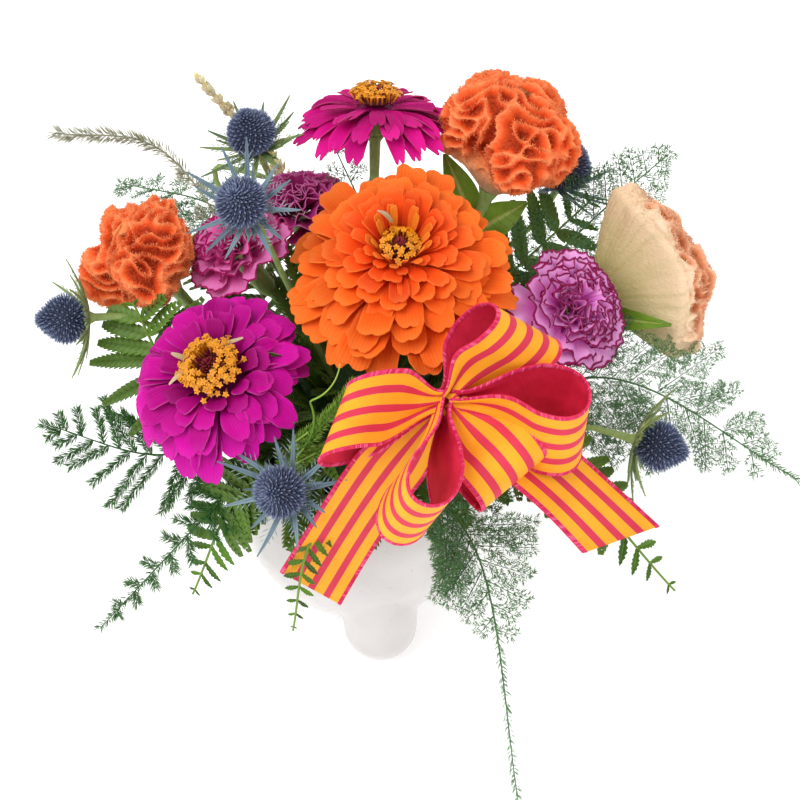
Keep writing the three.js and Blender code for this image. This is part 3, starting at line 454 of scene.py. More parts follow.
class Paint:
    """A material while its nodes are made."""

    SOCKETS = {
        "specular_level": "Specular IOR Level",
        "subsurface_weight": "Subsurface Weight",
        "coat_weight": "Coat Weight",
        "coat_roughness": "Coat Roughness",
        "emission_strength": "Emission Strength",
    }

    def __init__(self, name, roughness=0.6, **constants):
        self.material = bpy.data.materials.new(name)
        self.material.use_nodes = True
        self.tree = self.material.node_tree
        self.shader = self.tree.nodes["Principled BSDF"]
        self.shader.inputs["Roughness"].default_value = roughness
        for key, value in constants.items():
            self.shader.inputs[self.SOCKETS[key]].default_value = value
        self.place = self.node("TexCoord").outputs["Object"]

    def scatter(self, radius, reach):
        """Light under the surface: its shares of red, green and blue, and how many millimetres it goes."""
        self.shader.inputs["Subsurface Radius"].default_value = radius
        self.shader.inputs["Subsurface Scale"].default_value = reach * MM

    def node(self, kind, inputs=None, **settings):
        node = self.tree.nodes.new("ShaderNode" + kind)
        for key, value in settings.items():
            setattr(node, key, value)
        for key, value in (inputs or {}).items():
            self.plug(node.inputs[key], value)
        return node

    def plug(self, socket, value):
        if isinstance(value, bpy.types.NodeSocket):
            self.tree.links.new(value, socket)
        else:
            socket.default_value = value

    def value(self, name):
        """A per-vertex value of the piece."""
        return self.node("Attribute", attribute_name=name).outputs["Fac"]

    def math(self, operation, a, b=0.0):
        return self.node("Math", {0: a, 1: b}, operation=operation).outputs[0]

    def plus(self, a, b):
        return self.math("ADD", a, b)

    def minus(self, a, b):
        return self.math("SUBTRACT", a, b)

    def times(self, a, b):
        return self.math("MULTIPLY", a, b)

    def folded(self, value, count):
        """Up and down between 0 and 0.5, that many times while the value grows by 1."""
        return self.math("PINGPONG", self.times(value, count), 0.5)

    def swayed(self, value, grain, amount):
        """The value, uneven by an amount where the grain goes from 0 to 1."""
        return self.plus(value, self.times(self.minus(grain, 0.5), amount))

    def ramp(self, factor, *stops):
        """stops: (place, colour), from the first to the last."""
        node = self.node("ValToRGB", {"Fac": factor})
        elements = node.color_ramp.elements
        while len(elements) < len(stops):
            elements.new(0.5)
        for element, (place, text) in zip(elements, stops):
            element.position = place
            element.color = colour(text)
        return node.outputs["Color"]

    def mix(self, factor, a, b, blend="MIX"):
        node = self.node("Mix", data_type="RGBA", blend_type=blend)
        self.plug(node.inputs[0], factor)
        for socket, value in ((node.inputs[6], a), (node.inputs[7], b)):
            self.plug(socket, colour(value) if isinstance(value, str) else value)
        return node.outputs[2]

    def over(self, base, other, share, most):
        """The base with another colour laid over it, at most that much, where the share is 1."""
        return self.mix(self.times(share, most), base, other)

    def noise(self, size, detail=3.0, stretch=(1, 1, 1)):
        """Soft noise, 0 to 1, with features of that size in millimetres."""
        mapping = self.node("Mapping", {"Vector": self.place, "Scale": stretch})
        inputs = {"Vector": mapping.outputs[0], "Scale": 1 / (size * MM), "Detail": detail}
        return self.node("TexNoise", inputs).outputs["Fac"]

    def step(self, value, low, high):
        """0 below low, 1 above high and smooth between."""
        node = self.node("MapRange", {"Value": value, "From Min": low, "From Max": high})
        node.interpolation_type = "SMOOTHSTEP"
        return node.outputs[0]

    def finish(self, base, height=None, depth=0.3):
        """base: the colour. height: 0 to 1, for relief depth millimetres deep."""
        self.plug(self.shader.inputs["Base Color"], base)
        if height is not None:
            bump = self.node("Bump", {"Height": height, "Distance": depth * MM, "Strength": 1.0})
            self.plug(self.shader.inputs["Normal"], bump.outputs[0])
        return self.material


def petal_paint(name, root, middle, tip, inner, heart, under, vein):
    """Ray petals: coloured from a root darkened as painted shade to the tip, otherwise in the inner layers
    and the heart, paler beneath.
    """
    paint = Paint(name, roughness=0.62, specular_level=0.12, subsurface_weight=0.1)
    paint.scatter((1.0, 0.4, 0.2), 1.2)
    along = paint.swayed(paint.value("along"), paint.noise(6), 0.35)
    # Painted shade: the root colour is darker than the middle, for the shade at the petals' roots where the
    # petals above overlap them.
    base = paint.ramp(along, (0.0, root), (0.45, middle), (0.9, tip))
    base = paint.over(base, inner, paint.step(paint.value("layer"), 0.05, 0.45), 0.75)
    base = paint.over(base, heart, paint.step(paint.value("layer"), 0.6, 1.0), 0.7)
    base = paint.over(base, tip, paint.value("chance"), 0.3)
    shade = paint.ramp(paint.value("chance"), (0.0, "#e2e2e2"), (0.6, "#ffffff"))
    base = paint.mix(1.0, base, shade, "MULTIPLY")
    rim = paint.math("MAXIMUM", paint.math("ABSOLUTE", paint.value("across")), paint.value("along"))
    base = paint.over(base, vein, paint.step(rim, 0.82, 1.0), 0.14)
    veins = paint.plus(paint.folded(paint.value("across"), 4.5), paint.times(paint.noise(1.2), 0.35))
    base = paint.over(base, vein, paint.step(veins, 0.45, 0.75), 0.07)
    base = paint.over(base, under, paint.value("under"), 0.75)
    return paint.finish(base, veins, 0.2)


def edged_paint(name, base, deep, pale, edge, edge_start=0.93):
    """Carnation petals, with a dark or pale line along their cut edge."""
    paint = Paint(name, roughness=0.6, specular_level=0.25, subsurface_weight=0.1)
    paint.scatter((1.0, 0.5, 0.6), 1.2)
    grain = paint.noise(3.5)
    along = paint.swayed(paint.value("along"), grain, 0.16)
    body = paint.ramp(along, (0.1, deep), (0.55, base), (0.85, pale))
    body = paint.over(body, deep, paint.value("chance"), 0.25)
    rim = paint.swayed(paint.value("along"), grain, 0.06)
    body = paint.mix(paint.step(rim, edge_start, edge_start + 0.04), body, edge)
    veins = paint.plus(paint.folded(paint.value("across"), 7.0), paint.times(paint.noise(0.9), 0.4))
    return paint.finish(body, veins, 0.3)


def crest_paint(name, flank, flank_tip, crest, groove_shade, pale, change):
    """Cockscombs: a fibrous flank that turns, at change, into a velvety crest, with painted shade in its
    grooves and a painted highlight on its ridges.
    """
    paint = Paint(name, roughness=0.9, specular_level=0.15)
    fuzz = paint.noise(0.7, 2.0)
    blotch = paint.noise(9)
    height = paint.swayed(paint.value("along"), blotch, 0.2)
    side = paint.ramp(height, (0.0, flank), (change, flank_tip))
    rays = paint.plus(paint.times(paint.value("across"), 16.0), paint.times(blotch, 0.7))
    rays = paint.step(paint.math("PINGPONG", rays, 0.5), 0.25, 0.5)
    side = paint.over(side, flank, rays, 0.2)
    # Painted shade and highlight: the groove colour darkens the crest where the fold value is low, and the
    # pale colour lightens its ridge tops and, through the fine fuzz, its velvet as painted sheen.
    top = paint.ramp(paint.value("layer"), (0.1, groove_shade), (0.5, crest), (1.1, pale))
    top = paint.over(top, pale, fuzz, 0.35)
    base = paint.mix(paint.step(height, change - 0.06, change + 0.08), side, top)
    fibres = paint.plus(paint.times(fuzz, 0.8), paint.noise(2.2))
    return paint.finish(base, fibres, 0.7)


def leaf_paint(name, deep, fresh, under, vein, roughness=0.45, grain=4, side_veins=0.0):
    """Leaves and fronds: deep and fresh green in patches, a pale middle vein and a duller underside."""
    paint = Paint(name, roughness=roughness, specular_level=0.3, subsurface_weight=0.05)
    paint.scatter((0.4, 1.0, 0.2), 1.0)
    tone = paint.plus(paint.times(paint.value("chance"), 0.6), paint.times(paint.noise(grain), 0.5))
    base = paint.ramp(tone, (0.15, deep), (0.9, fresh))
    middle = paint.math("ABSOLUTE", paint.value("across"))
    base = paint.over(base, vein, paint.minus(1.0, paint.step(middle, 0.03, 0.2)), 0.45)
    base = paint.over(base, under, paint.value("under"), 0.6)
    relief = paint.plus(paint.step(middle, 0.0, 0.35), paint.times(paint.noise(1.2), 0.5))
    if side_veins:
        slope = paint.minus(paint.times(paint.value("along"), side_veins), middle)
        lines = paint.step(paint.math("PINGPONG", slope, 0.5), 0.42, 0.5)
        base = paint.over(base, vein, lines, 0.3)
        relief = paint.minus(relief, lines)
    return paint.finish(base, relief, 0.25)


def stem_paint(name, deep, fresh):
    """Stems: streaked lengthwise, fresher towards the flower."""
    paint = Paint(name, roughness=0.55)
    streaks = paint.noise(1.5, 3.0, (1, 1, 0.2))
    tone = paint.plus(paint.times(streaks, 0.7), paint.times(paint.value("along"), 0.35))
    return paint.finish(paint.ramp(tone, (0.2, deep), (0.85, fresh)), streaks, 0.2)


def tip_paint(name, root, middle, tip, roughness=0.7, spread=0.3):
    """Florets, buds and needles: coloured from their root to their tip."""
    paint = Paint(name, roughness=roughness)
    grain = paint.noise(2.5)
    along = paint.swayed(paint.value("along"), grain, spread)
    base = paint.ramp(along, (0.0, root), (0.5, middle), (1.0, tip))
    shade = paint.ramp(paint.value("chance"), (0.0, "#d0d0d0"), (1.0, "#ffffff"))
    return paint.finish(paint.mix(1.0, base, shade, "MULTIPLY"), grain, 0.2)


def ribbon_paint():
    """Yellow-orange ribbed ribbon with three pink stripes and pink borders; plain crimson on its back."""
    paint = Paint("ribbon_cloth", roughness=0.6, specular_level=0.2)
    across = paint.times(paint.plus(paint.value("across"), 1.0), 0.5)
    # Across the width, from 0 to 1: a border at each edge and three stripes between them.
    phase = paint.math("PINGPONG", paint.plus(paint.times(across, 4.0), 0.5), 0.5)
    near_edge = paint.math("PINGPONG", across, 0.5)
    stripe = paint.times(paint.step(phase, 0.29, 0.305), paint.step(near_edge, 0.1, 0.11))
    border = paint.minus(1.0, paint.step(near_edge, 0.055, 0.062))
    tone = paint.noise(14)
    yellow = paint.ramp(tone, (0.3, "#fca414"), (0.75, "#ffb422"))
    pink = paint.ramp(tone, (0.3, "#d42848"), (0.75, "#e03656"))
    face = paint.mix(paint.math("MAXIMUM", stripe, border), yellow, pink)
    back = paint.ramp(paint.noise(9), (0.3, "#cc0438"), (0.75, "#ea2450"))
    base = paint.mix(paint.value("under"), face, back)
    weave = paint.plus(paint.folded(paint.value("along"), 1.4), paint.folded(across, 45.0))
    base = paint.over(base, "#ffffff", paint.step(weave, 0.2, 0.9), 0.03)
    return paint.finish(base, weave, 0.12)


def stitch_paint():
    """Pink thread, each stitch of its own shade."""
    paint = Paint("ribbon_stitches", roughness=0.6, specular_level=0.2)
    base = paint.ramp(paint.value("chance"), (0.0, "#d42458"), (0.6, "#e63c74"), (1.0, "#f4709a"))
    return paint.finish(base, paint.noise(0.4), 0.1)


def glaze_paint():
    """White glaze, a little uneven in colour, with fine pits."""
    paint = Paint("bowl_glaze", roughness=0.3, coat_weight=0.4, coat_roughness=0.15)
    base = paint.ramp(paint.noise(38), (0.3, "#c8c2c0"), (0.7, "#d8d4d2"))
    unpitted = paint.step(paint.noise(2.2, 1.0), 0.24, 0.3)
    base = paint.over(base, "#b9aaa2", paint.minus(1.0, unpitted), 0.25)
    return paint.finish(base, paint.plus(paint.times(unpitted, 0.5), paint.noise(12)), 0.25)


def grained_paint(name, roughness, grain, dark, light, depth):
    """One grain for both colour and relief. grain: its size, its detail and how it is stretched."""
    paint = Paint(name, roughness=roughness)
    texture = paint.noise(*grain)
    return paint.finish(paint.ramp(texture, (0.3, dark), (0.7, light)), texture, depth)


def all_paints():
    """Every material by its name: its kind, then what that kind's function takes after the name."""
    kinds = {
        # Zinnia petals: the first colour, at the roots, is darker as painted shade where the petals overlap.
        petal_paint: {
            "orange_petals": ("#cc3008", "#f84c10", "#ff6e1c", "#f44014", "#f8a02c", "#fc8830", "#ffb05c"),
            "magenta_petals": ("#70004c", "#b80088", "#d004a0", "#b4007c", "#90005e", "#c864a4", "#e84cc0"),
            "magenta_top_petals": (
                "#880050", "#cc0078", "#dc108c", "#c00074", "#ac0064", "#b85480", "#e8449c"
            ),
        },
        edged_paint: {
            "lilac_petals": ("#f080dc", "#d450b4", "#f8b4ee", "#8c0850"),
            "wine_petals": ("#b41c78", "#840c54", "#cc3c94", "#dc78b8", 0.95),
            "pink_petals": ("#ea60b4", "#c02884", "#f48ccc", "#a80860"),
        },
        # Cockscombs: the fourth colour is painted shade for the grooves, the fifth a painted highlight for
        # the ridge tops and fuzz.
        crest_paint: {
            "comb_orange": ("#e8c49c", "#f08c50", "#f45410", "#bc3008", "#ff9860", 0.34),
            "comb_cream": ("#a4a44c", "#fcdcbc", "#f0945c", "#cc7440", "#fcc8a4", 0.79),
        },
        leaf_paint: {
            "fern_green": ("#1c400a", "#629020", "#648038", "#8ca844"),
            "leaf_green": ("#3c7010", "#84a42c", "#8ca050", "#c8cc7c", 0.5, 9, 9.0),
            "bract": ("#50687c", "#8ca4b0", "#849498", "#acbcb8", 0.55, 8),
            "green_bract": ("#4c6840", "#90a464", "#80905c", "#acb880", 0.55, 8),
        },
        stem_paint: {"stem_green": ("#5f8436", "#a4bc70")},
        tip_paint: {
            "needles": ("#2c5828", "#588c50", "#88b47c", 0.6),
            "dark_needles": ("#1c4814", "#387428", "#649c4c", 0.6),
            "fresh_needles": ("#54841c", "#84b438", "#b4d464", 0.6),
            "pale_needles": ("#989c7c", "#b4b898", "#d4d8bc", 0.7),
            "thistle": ("#28304c", "#56648c", "#a4b0cc", 0.7, 0.2),
            "florets": ("#9c3c04", "#e88808", "#ffb414", 0.6),
            "chaff": ("#580818", "#8c1430", "#b84c48", 0.6),
            "dry": ("#a8845c", "#c8a87c", "#e0cca8", 0.8),
            "spike": ("#f8e4a0", "#fff2bc", "#fffce0", 0.8),
        },
        grained_paint: {
            "floral_foam": (0.95, (0.8, 4.0), "#1c3a1e", "#3c6a3c", 0.6),
            "pick_wood": (0.75, (1.2, 4.0, (1, 1, 0.15)), "#9a7448", "#c9a271", 0.15),
        },
    }
    paints = {name: make(name, *look) for make, looks in kinds.items() for name, look in looks.items()}
    return paints | dict(ribbon=ribbon_paint(), stitches=stitch_paint(), glaze=glaze_paint())


PAINTS = all_paints()

# -------- zinnias


def add_ray_petals(skin, rows, core, rng, **shape):
    """rows: (petals, tip radius, tip height, root height, width), from the outermost inwards."""
    look = dict(droop=0.0, arch=0.06, cup=0.22, notch=0.03, corner=0.2, uplift=0.0, blunt=2.6, narrow=0.0)
    look.update(shape)
    t, s = grid_axes(12, 9)
    for row, (count, radius, height, root, width) in enumerate(rows):
        draw = draw_each(rng, count)
        angle = TAU * (np.arange(count) + 0.5 * (row % 2) + 0.23 * row) / count
        angle = angle[:, None, None] + draw(-1.3, 1.3) / count
        reach = radius * draw(0.86, 1.0) * (1 - look["narrow"] * np.maximum(0, np.cos(angle))) - core
        corners = look["corner"] * np.abs(s) ** look["blunt"] * draw(0.5, 1.5)
        u = t * (1 - corners - look["notch"] * np.exp(-((s / 0.22) ** 2)) * t**4)
        half = 0.5 * width * draw(0.9, 1.08) * (0.36 + 0.64 * smooth(u / 0.66))
        out = reach * u
        side = half * s
        tip_height = height + draw(-1.5, 1.5) + look["uplift"] * np.maximum(0, np.sin(angle))
        rise = lerp(root, tip_height, u) + look["arch"] * reach * np.sin(math.pi * u)
        rise = rise - reach * u**4 * (look["droop"] + draw(-0.16, 0.16))
        rise = rise + look["cup"] * half * (s**2 - 0.4) * draw(-0.2, 1.9) * smooth(1.4 * u)
        rise = rise + 0.2 * np.cos(3 * math.pi * s) * smooth(3 * u) + side * u * draw(-0.42, 0.42)
        petal = turned(out, side, rise, draw(-0.14, 0.14)) + vec(core, 0, 0)
        grid = turned(petal[..., 0], petal[..., 1], petal[..., 2], angle)
        layer = row / max(len(rows) - 1, 1)
        add_blades(skin, grid, 0.5, along=u, across=s, chance=draw(0, 1), layer=layer**2)


def add_florets(skin, count, ring_low, ring_high, base, tall, petal, rng):
    """Small five-pointed tubular flowers in a ring. base: the height of the dome under them at a radius."""
    angle = np.arange(count) * GOLDEN_TURN + rng.uniform(-0.1, 0.1, count)
    radius = np.sqrt(lerp(ring_low**2, ring_high**2, (np.arange(count) + 0.5) / count))
    radius = radius + rng.uniform(-0.5, 0.5, count)
    out = turned(1, 0, 0, angle)
    foot = radius[:, None] * out + base(radius)[:, None] * vec(0, 0, 1)
    axis = unit(0.4 * out + vec(0, 0, 1) + rng.normal(0, 0.22, (count, 3)))
    top = foot + axis * (tall * rng.uniform(0.75, 1.15, count))[:, None]
    add_rods(skin, foot, top, 0.5, TUBULAR, 5, chance=rng.uniform(0, 1, count))
    side, up = side_axes(axis)
    t, s = vector_axes(4, 3)
    for turn in np.arange(5) * TAU / 5:
        star = math.cos(turn) * side + math.sin(turn) * up
        across = math.cos(turn) * up - math.sin(turn) * side
        width = 0.38 * petal * bulge(0.25, 0.96, t)
        grid = top[:, None, None] + star[:, None, None] * petal * t + across[:, None, None] * width * s
        grid = grid + axis[:, None, None] * (0.35 * petal * t - 0.3 * petal * t**2)
        chance = rng.uniform(0, 1, count)[:, None, None]
        add_blades(skin, grid, 0.25, along=0.4 + 0.6 * t[..., 0], chance=chance)


def zinnia_disc(name, base, radius, height, florets, seed):
    """The middle of a zinnia: a cone of dark scales ringed by small yellow flowers."""
    rng = np.random.default_rng(seed)
    cone, ring = Skin().stand_on(name, base), Skin().stand_on(name, base)
    inner = 0.42 * radius
    add_dome(cone, 0.8 * radius, 0.7 * height, power=0.62, along=0.1)
    count = 60
    share = (np.arange(count) + 0.5) / count
    r = inner * np.sqrt(share)
    out = turned(1, 0, 0, np.arange(count) * GOLDEN_TURN)
    foot = r[:, None] * out + (height * (0.7 - 0.35 * share))[:, None] * vec(0, 0, 1)
    long = rng.uniform(1.6, 2.8, count)[:, None]
    tip = foot + unit(0.35 * out + vec(0, 0, 1)) * long - 0.25 * out * share[:, None]
    add_rods(cone, foot, tip, 0.62, SCALE, 5, chance=rng.uniform(0, 1, count))
    cone.piece(name + "_cone", "chaff", "flower_disc", name + "_disc")

    def dome_height(q):
        return height * (0.7 - 0.5 * (q / radius) ** 2)

    add_florets(ring, florets, inner, radius, dome_height, 0.45 * height, 1.5, rng)
    ring.piece(name + "_florets", "florets", "flower_disc")


def zinnia(name, paint, slot, rows, core, seed, **shape):
    skin = Skin().stand_on(name)
    add_ray_petals(skin, rows, core, np.random.default_rng(seed), **shape)
    add_dome(skin, core + 2.5, rows[-1][3] + 1.5, power=0.7, along=0.0)
    skin.piece(name + "_petals", paint, slot, name)


def dry_slivers(name, reach, height, turns, seed):
    """Dried papery scales and petals that lie across the flower."""
    skin = Skin().stand_on(name)
    rng = np.random.default_rng(seed)
    t, s = grid_axes(9, 5)
    for turn in turns:
        out = reach * (0.55 + 0.75 * t)
        side = (0.95 * bulge(0.15, 0.95, t) + 0.15) * s
        rise = height + 2.5 * np.sin(2.6 * t + rng.uniform(0, 2)) + 0.5 * s**2
        angle = math.radians(turn) + 0.25 * t * rng.uniform(-1, 1)
        add_blades(skin, turned(out, side, rise, angle), 0.3, along=t, chance=rng.random())
    skin.piece(name + "_slivers", "dry", "flower_disc")


ORANGE_ROWS = [
    (15, 54, 1.5, 1.0, 15.5),
    (15, 52, 6, 3.5, 15),
    (15, 48.5, 10.5, 6.5, 14.5),
    (15, 44, 15, 9.5, 13.5),
    (14, 39, 19, 12, 12.5),
    (13, 33.5, 22.5, 14.5, 11.5),
    (13, 28, 25.5, 17, 9.5),
    (11, 22.5, 28, 19, 7.5),
    (9, 18, 29.5, 20.5, 5.2),
    (9, 15.5, 31, 21.5, 3.8),
    (8, 13, 31.5, 22.5, 2.8),
]
LEFT_ROWS = [
    (15, 45, -4, 1, 13.5),
    (15, 44, 1, 3, 13),
    (14, 41.5, 6.5, 5, 12.5),
    (13, 37.5, 11.5, 6.5, 11.5),
    (11, 32, 15.5, 8, 10),
    (9, 25.5, 18, 9, 8.5),
]
TOP_ROWS = [
    (17, 41, -7, 0.6, 8.5),
    (16, 39, -3.5, 1.8, 8),
    (15, 35.5, 1, 3.2, 7.5),
    (12, 30, 5, 4.4, 6.5),
]
ORANGE = ("zinnia_orange", "orange_petals", "orange_petals")
LEFT = ("zinnia_left", "magenta_petals", "magenta_petals")
TOP = ("zinnia_top", "magenta_top_petals", "magenta_petals")
zinnia(*ORANGE, ORANGE_ROWS, 8, 11, droop=0.1, uplift=7, blunt=4.0, corner=0.15)
zinnia(*LEFT, LEFT_ROWS, 11, 12, droop=0.16, arch=0.12, corner=0.2, cup=0.42, narrow=0.15)
zinnia(*TOP, TOP_ROWS, 8, 13, droop=0.06, arch=0.07, notch=0.1, cup=0.3)
zinnia_disc("zinnia_orange", 20.5, 7, 9, 60, 14)
zinnia_disc("zinnia_left", 9.6, 10.8, 15, 170, 15)
zinnia_disc("zinnia_top", 4.8, 9, 10, 100, 16)
dry_slivers("zinnia_left", 14.5, 19, (74, 188, 222), 17)
dry_slivers("zinnia_orange", 13, 31, (118,), 18)

# -------- carnations

CARNATION_PETALS = 46


def carnation(name, radius, paint, seed):
    """A ball of fan-shaped petals with ruffled, toothed edges: flat outside and upright in the middle."""
    skin = Skin().stand_on(name)
    draw = draw_each(np.random.default_rng(seed), CARNATION_PETALS)
    number = np.arange(CARNATION_PETALS)[:, None, None]
    order = number / (CARNATION_PETALS - 1)
    t, s = grid_axes(13, 37)
    angle = number * GOLDEN_TURN + draw(-0.2, 0.2)
    lift = np.radians(lerp(4, 86, order**0.8)) + draw(-0.12, 0.12)
    reach = radius * lerp(1.2, 0.72, order**0.6) * draw(0.88, 1.0)
    spread = lerp(0.62, 0.75, order) * draw(0.85, 1.2)
    ruffles = lerp(2.0, 3.4, order) + draw(-0.4, 0.4)
    teeth = 0.05 * np.abs(np.sin(13 * s * (1 + 0.2 * draw(-1, 1)))) * t**6
    u = t * (1 - 0.12 * s**4) * (1 - teeth)
    fan = spread * s * smooth(0.25 + u)
    out = reach * u * np.cos(fan)
    side = reach * u * np.sin(fan)
    wave = lerp(0.06, 0.14, order) * radius * u**2 * np.sin(ruffles * s * math.pi + draw(0, TAU))
    wave = wave + 0.03 * radius * u**3 * np.sin(9 * s + draw(0, TAU))
    bend = wave - lerp(0.1, 0.2, order) * reach * u**2
    x = out * np.cos(lift) - bend * np.sin(lift) + 2.0
    z = out * np.sin(lift) + bend * np.cos(lift) + lerp(4, 9, order)
    add_blades(skin, turned(x, side, z, angle), 0.35, along=t, across=s, chance=draw(0, 1))
    skin.piece(name + "_petals", paint, paint, name)


carnation("carnation_right", 26, "lilac_petals", 21)
carnation("carnation_top", 24, "wine_petals", 22)
carnation("carnation_left", 22.5, "pink_petals", 23)

# -------- cockscombs

COMB_ROWS = 170
COMB_SIDES = 320
COMB_BLUR = 19

# rings: (radius, height, lobe depth). flatten: how thin the comb is. change: how far up its flank turns
# into the winding crest. spacing, depth: of the crest's ridges. pivot: how far under its foot the rays of
# a fan-shaped comb meet.
COMBS = {
    "celosia_top": dict(
        paint="comb_orange",
        rings=[
            (6, 0, 0), (15, 7, 0.08), (23, 13, 0.14), (28, 20, 0.16), (30, 28, 0.18), (29, 35, 0.2),
            (25, 42, 0.2), (17, 47, 0.2), (3, 49, 0.1),
        ],
        flatten=0.85, change=0.3, spacing=4.8, depth=5.6, seed=31,
    ),
    "celosia_left": dict(
        paint="comb_orange",
        rings=[
            (5, 0, 0), (12, 4, 0.08), (19, 10, 0.14), (24, 16, 0.16), (26, 22, 0.18), (25, 28, 0.2),
            (21, 33, 0.2), (14, 37, 0.2), (3, 38.5, 0.1),
        ],
        flatten=0.85, change=0.3, spacing=4.4, depth=5.0, seed=32,
    ),
    "celosia_fan": dict(
        paint="comb_cream",
        rings=[
            (4.4, 0, 0), (11, 9, 0.02), (20, 19, 0.03), (30, 29, 0.04), (39, 39, 0.05), (45, 46, 0.07),
            (43, 51, 0.08), (26, 52, 0.08), (3, 50, 0.05),
        ],
        flatten=0.34, change=0.77, spacing=4.4, depth=3.6, seed=33, pivot=10,
    ),
}


def comb_form(rings, flatten, pivot, v, a):
    """The comb without its ridges, at shares of the way up and angles round it; also its radius there."""
    stations = np.linspace(0, 1, len(rings))
    kernel = np.hanning(COMB_BLUR) / np.hanning(COMB_BLUR).sum()
    profile = [np.interp(v[:, 0], stations, column) for column in zip(*rings)]
    profile = [np.convolve(np.pad(p, COMB_BLUR // 2, mode="edge"), kernel, "valid")[:, None] for p in profile]
    radius, height, lobe = profile
    lobes = np.sin(5 * a + 2 * np.sin(2.2 * v)) + 0.7 * np.sin(3 * a - 3 * v + 1)
    r = radius * (1 + 0.8 * lobe * lobes)
    x, z = r * np.cos(a), height + 0.3 * lobe * radius * np.sin(4 * a + 1)
    if pivot:
        ray = z + pivot
        x, z = ray * np.sin(x / ray), ray * np.cos(x / ray) - pivot
    return np.stack([x, r * flatten * np.sin(a), z], axis=-1), radius


def cockscomb(name, paint, rings, flatten, change, spacing, depth, seed, pivot=0.0):
    """A comb with a fibrous flank and a crest of winding, velvety ridges."""
    skin = Skin().stand_on(name)
    rng = np.random.default_rng(seed)
    v = np.linspace(0, 1, COMB_ROWS)[:, None]
    a = (np.arange(COMB_SIDES) * TAU / COMB_SIDES)[None]
    points, radius = comb_form(rings, flatten, pivot, v, a)
    wrapped = np.concatenate([points[:, -1:], points, points[:, :1]], axis=1)
    normal = unit(np.cross(np.gradient(wrapped, axis=1)[:, 1:-1], np.gradient(points, axis=0)))
    bent = points + 0.35 * spacing * np.stack([labyrinth(points, 14, rng) for _ in range(3)], axis=-1)
    fold = np.exp(-((labyrinth(bent, spacing, rng) / 0.62) ** 2))
    weight = smooth((v - change + 0.12) / 0.2)
    billow = 1.8 * labyrinth(points, 13, rng)
    wrinkles = np.sqrt(np.clip(np.abs(labyrinth(bent, 0.42 * spacing, rng)), 0, 1))
    fine = 0.9 * wrinkles + 0.16 * labyrinth(points, 0.9, rng)
    fibres = 0.12 * np.sin(47 * a + 3 * np.sin(5 * v))
    fibres = fibres + 1.8 * v**2 * np.sin(7 * a + 2 * v) + 0.6 * v * np.sin(13 * a + 4 * v)
    step = weight * (depth * (fold - 0.6) + fine + billow) + (1 - weight) * fibres * smooth(4 * v)
    points = points + normal * step[..., None]
    # The fold value is stored as layer; the crest paint turns it into painted shade in the grooves and a
    # painted highlight on the ridges.
    skin.add(points, ring_faces(COMB_ROWS, COMB_SIDES), along=v, layer=fold, across=np.sin(a))
    normal = unit(np.cross(np.gradient(points, axis=1), np.gradient(points, axis=0)))
    rooted = rng.random(points.shape[:2]) < 0.5 * weight * np.minimum(1, radius / 22)
    root = points[rooted]
    tip = root + (normal[rooted] + rng.normal(0, 0.35, root.shape)) * rng.uniform(0.6, 1.3, (len(root), 1))
    along = np.broadcast_to(v, rooted.shape)[rooted]
    # The hairs get a layer a little above the fold under them, so they take more of the painted highlight.
    add_needles(skin, root, tip, 0.16, along=along, layer=fold[rooted] + 0.12)
    skin.piece(name + "_crest", paint, paint, name)


for name, comb in COMBS.items():
    cockscomb(name, **comb)

# -------- sea hollies

THISTLE_RADIUS = 9.2
THISTLE_HEIGHT = 21.5
THISTLE_FLORETS = 240
SPINES = 6


def thistle_head(name, seed):
    """An egg of small blue florets in spiral rows, with fine spines round each of them."""
    skin = Skin().stand_on(name)
    rng = np.random.default_rng(seed)
    add_dome(skin, THISTLE_RADIUS, THISTLE_HEIGHT, 14, 20, 0.85, along=0.0)
    count = THISTLE_FLORETS
    t = lerp(0.06, 0.985, ((np.arange(count) + 0.5) / count) ** 0.93)
    angle = np.arange(count) * GOLDEN_TURN
    r = THISTLE_RADIUS * np.sin(math.pi * t**0.85)
    slope = np.cos(math.pi * t**0.85) * 0.9
    out = unit(turned(1, 0, 0.15 - slope, angle))
    foot = turned(r, 0, THISTLE_HEIGHT * t, angle) - 0.6 * out
    tip = foot + out * rng.uniform(2.6, 3.6, count)[:, None]
    chance = rng.uniform(0, 1, count)
    add_rods(skin, foot, tip, 0.5, BUD, 6, chance=chance)
    aside, upward = side_axes(out)
    for turn in np.arange(SPINES) * TAU / SPINES:
        lean = math.cos(turn) * aside + math.sin(turn) * upward
        start = foot + 0.5 * lean
        spine = unit(out + rng.uniform(0.25, 0.6, (count, 1)) * lean) * rng.uniform(2.6, 4.4, (count, 1))
        add_needles(skin, start, start + spine, 0.15, chance=chance)
    skin.piece(name + "_florets", "thistle", "thistle_blue", name)


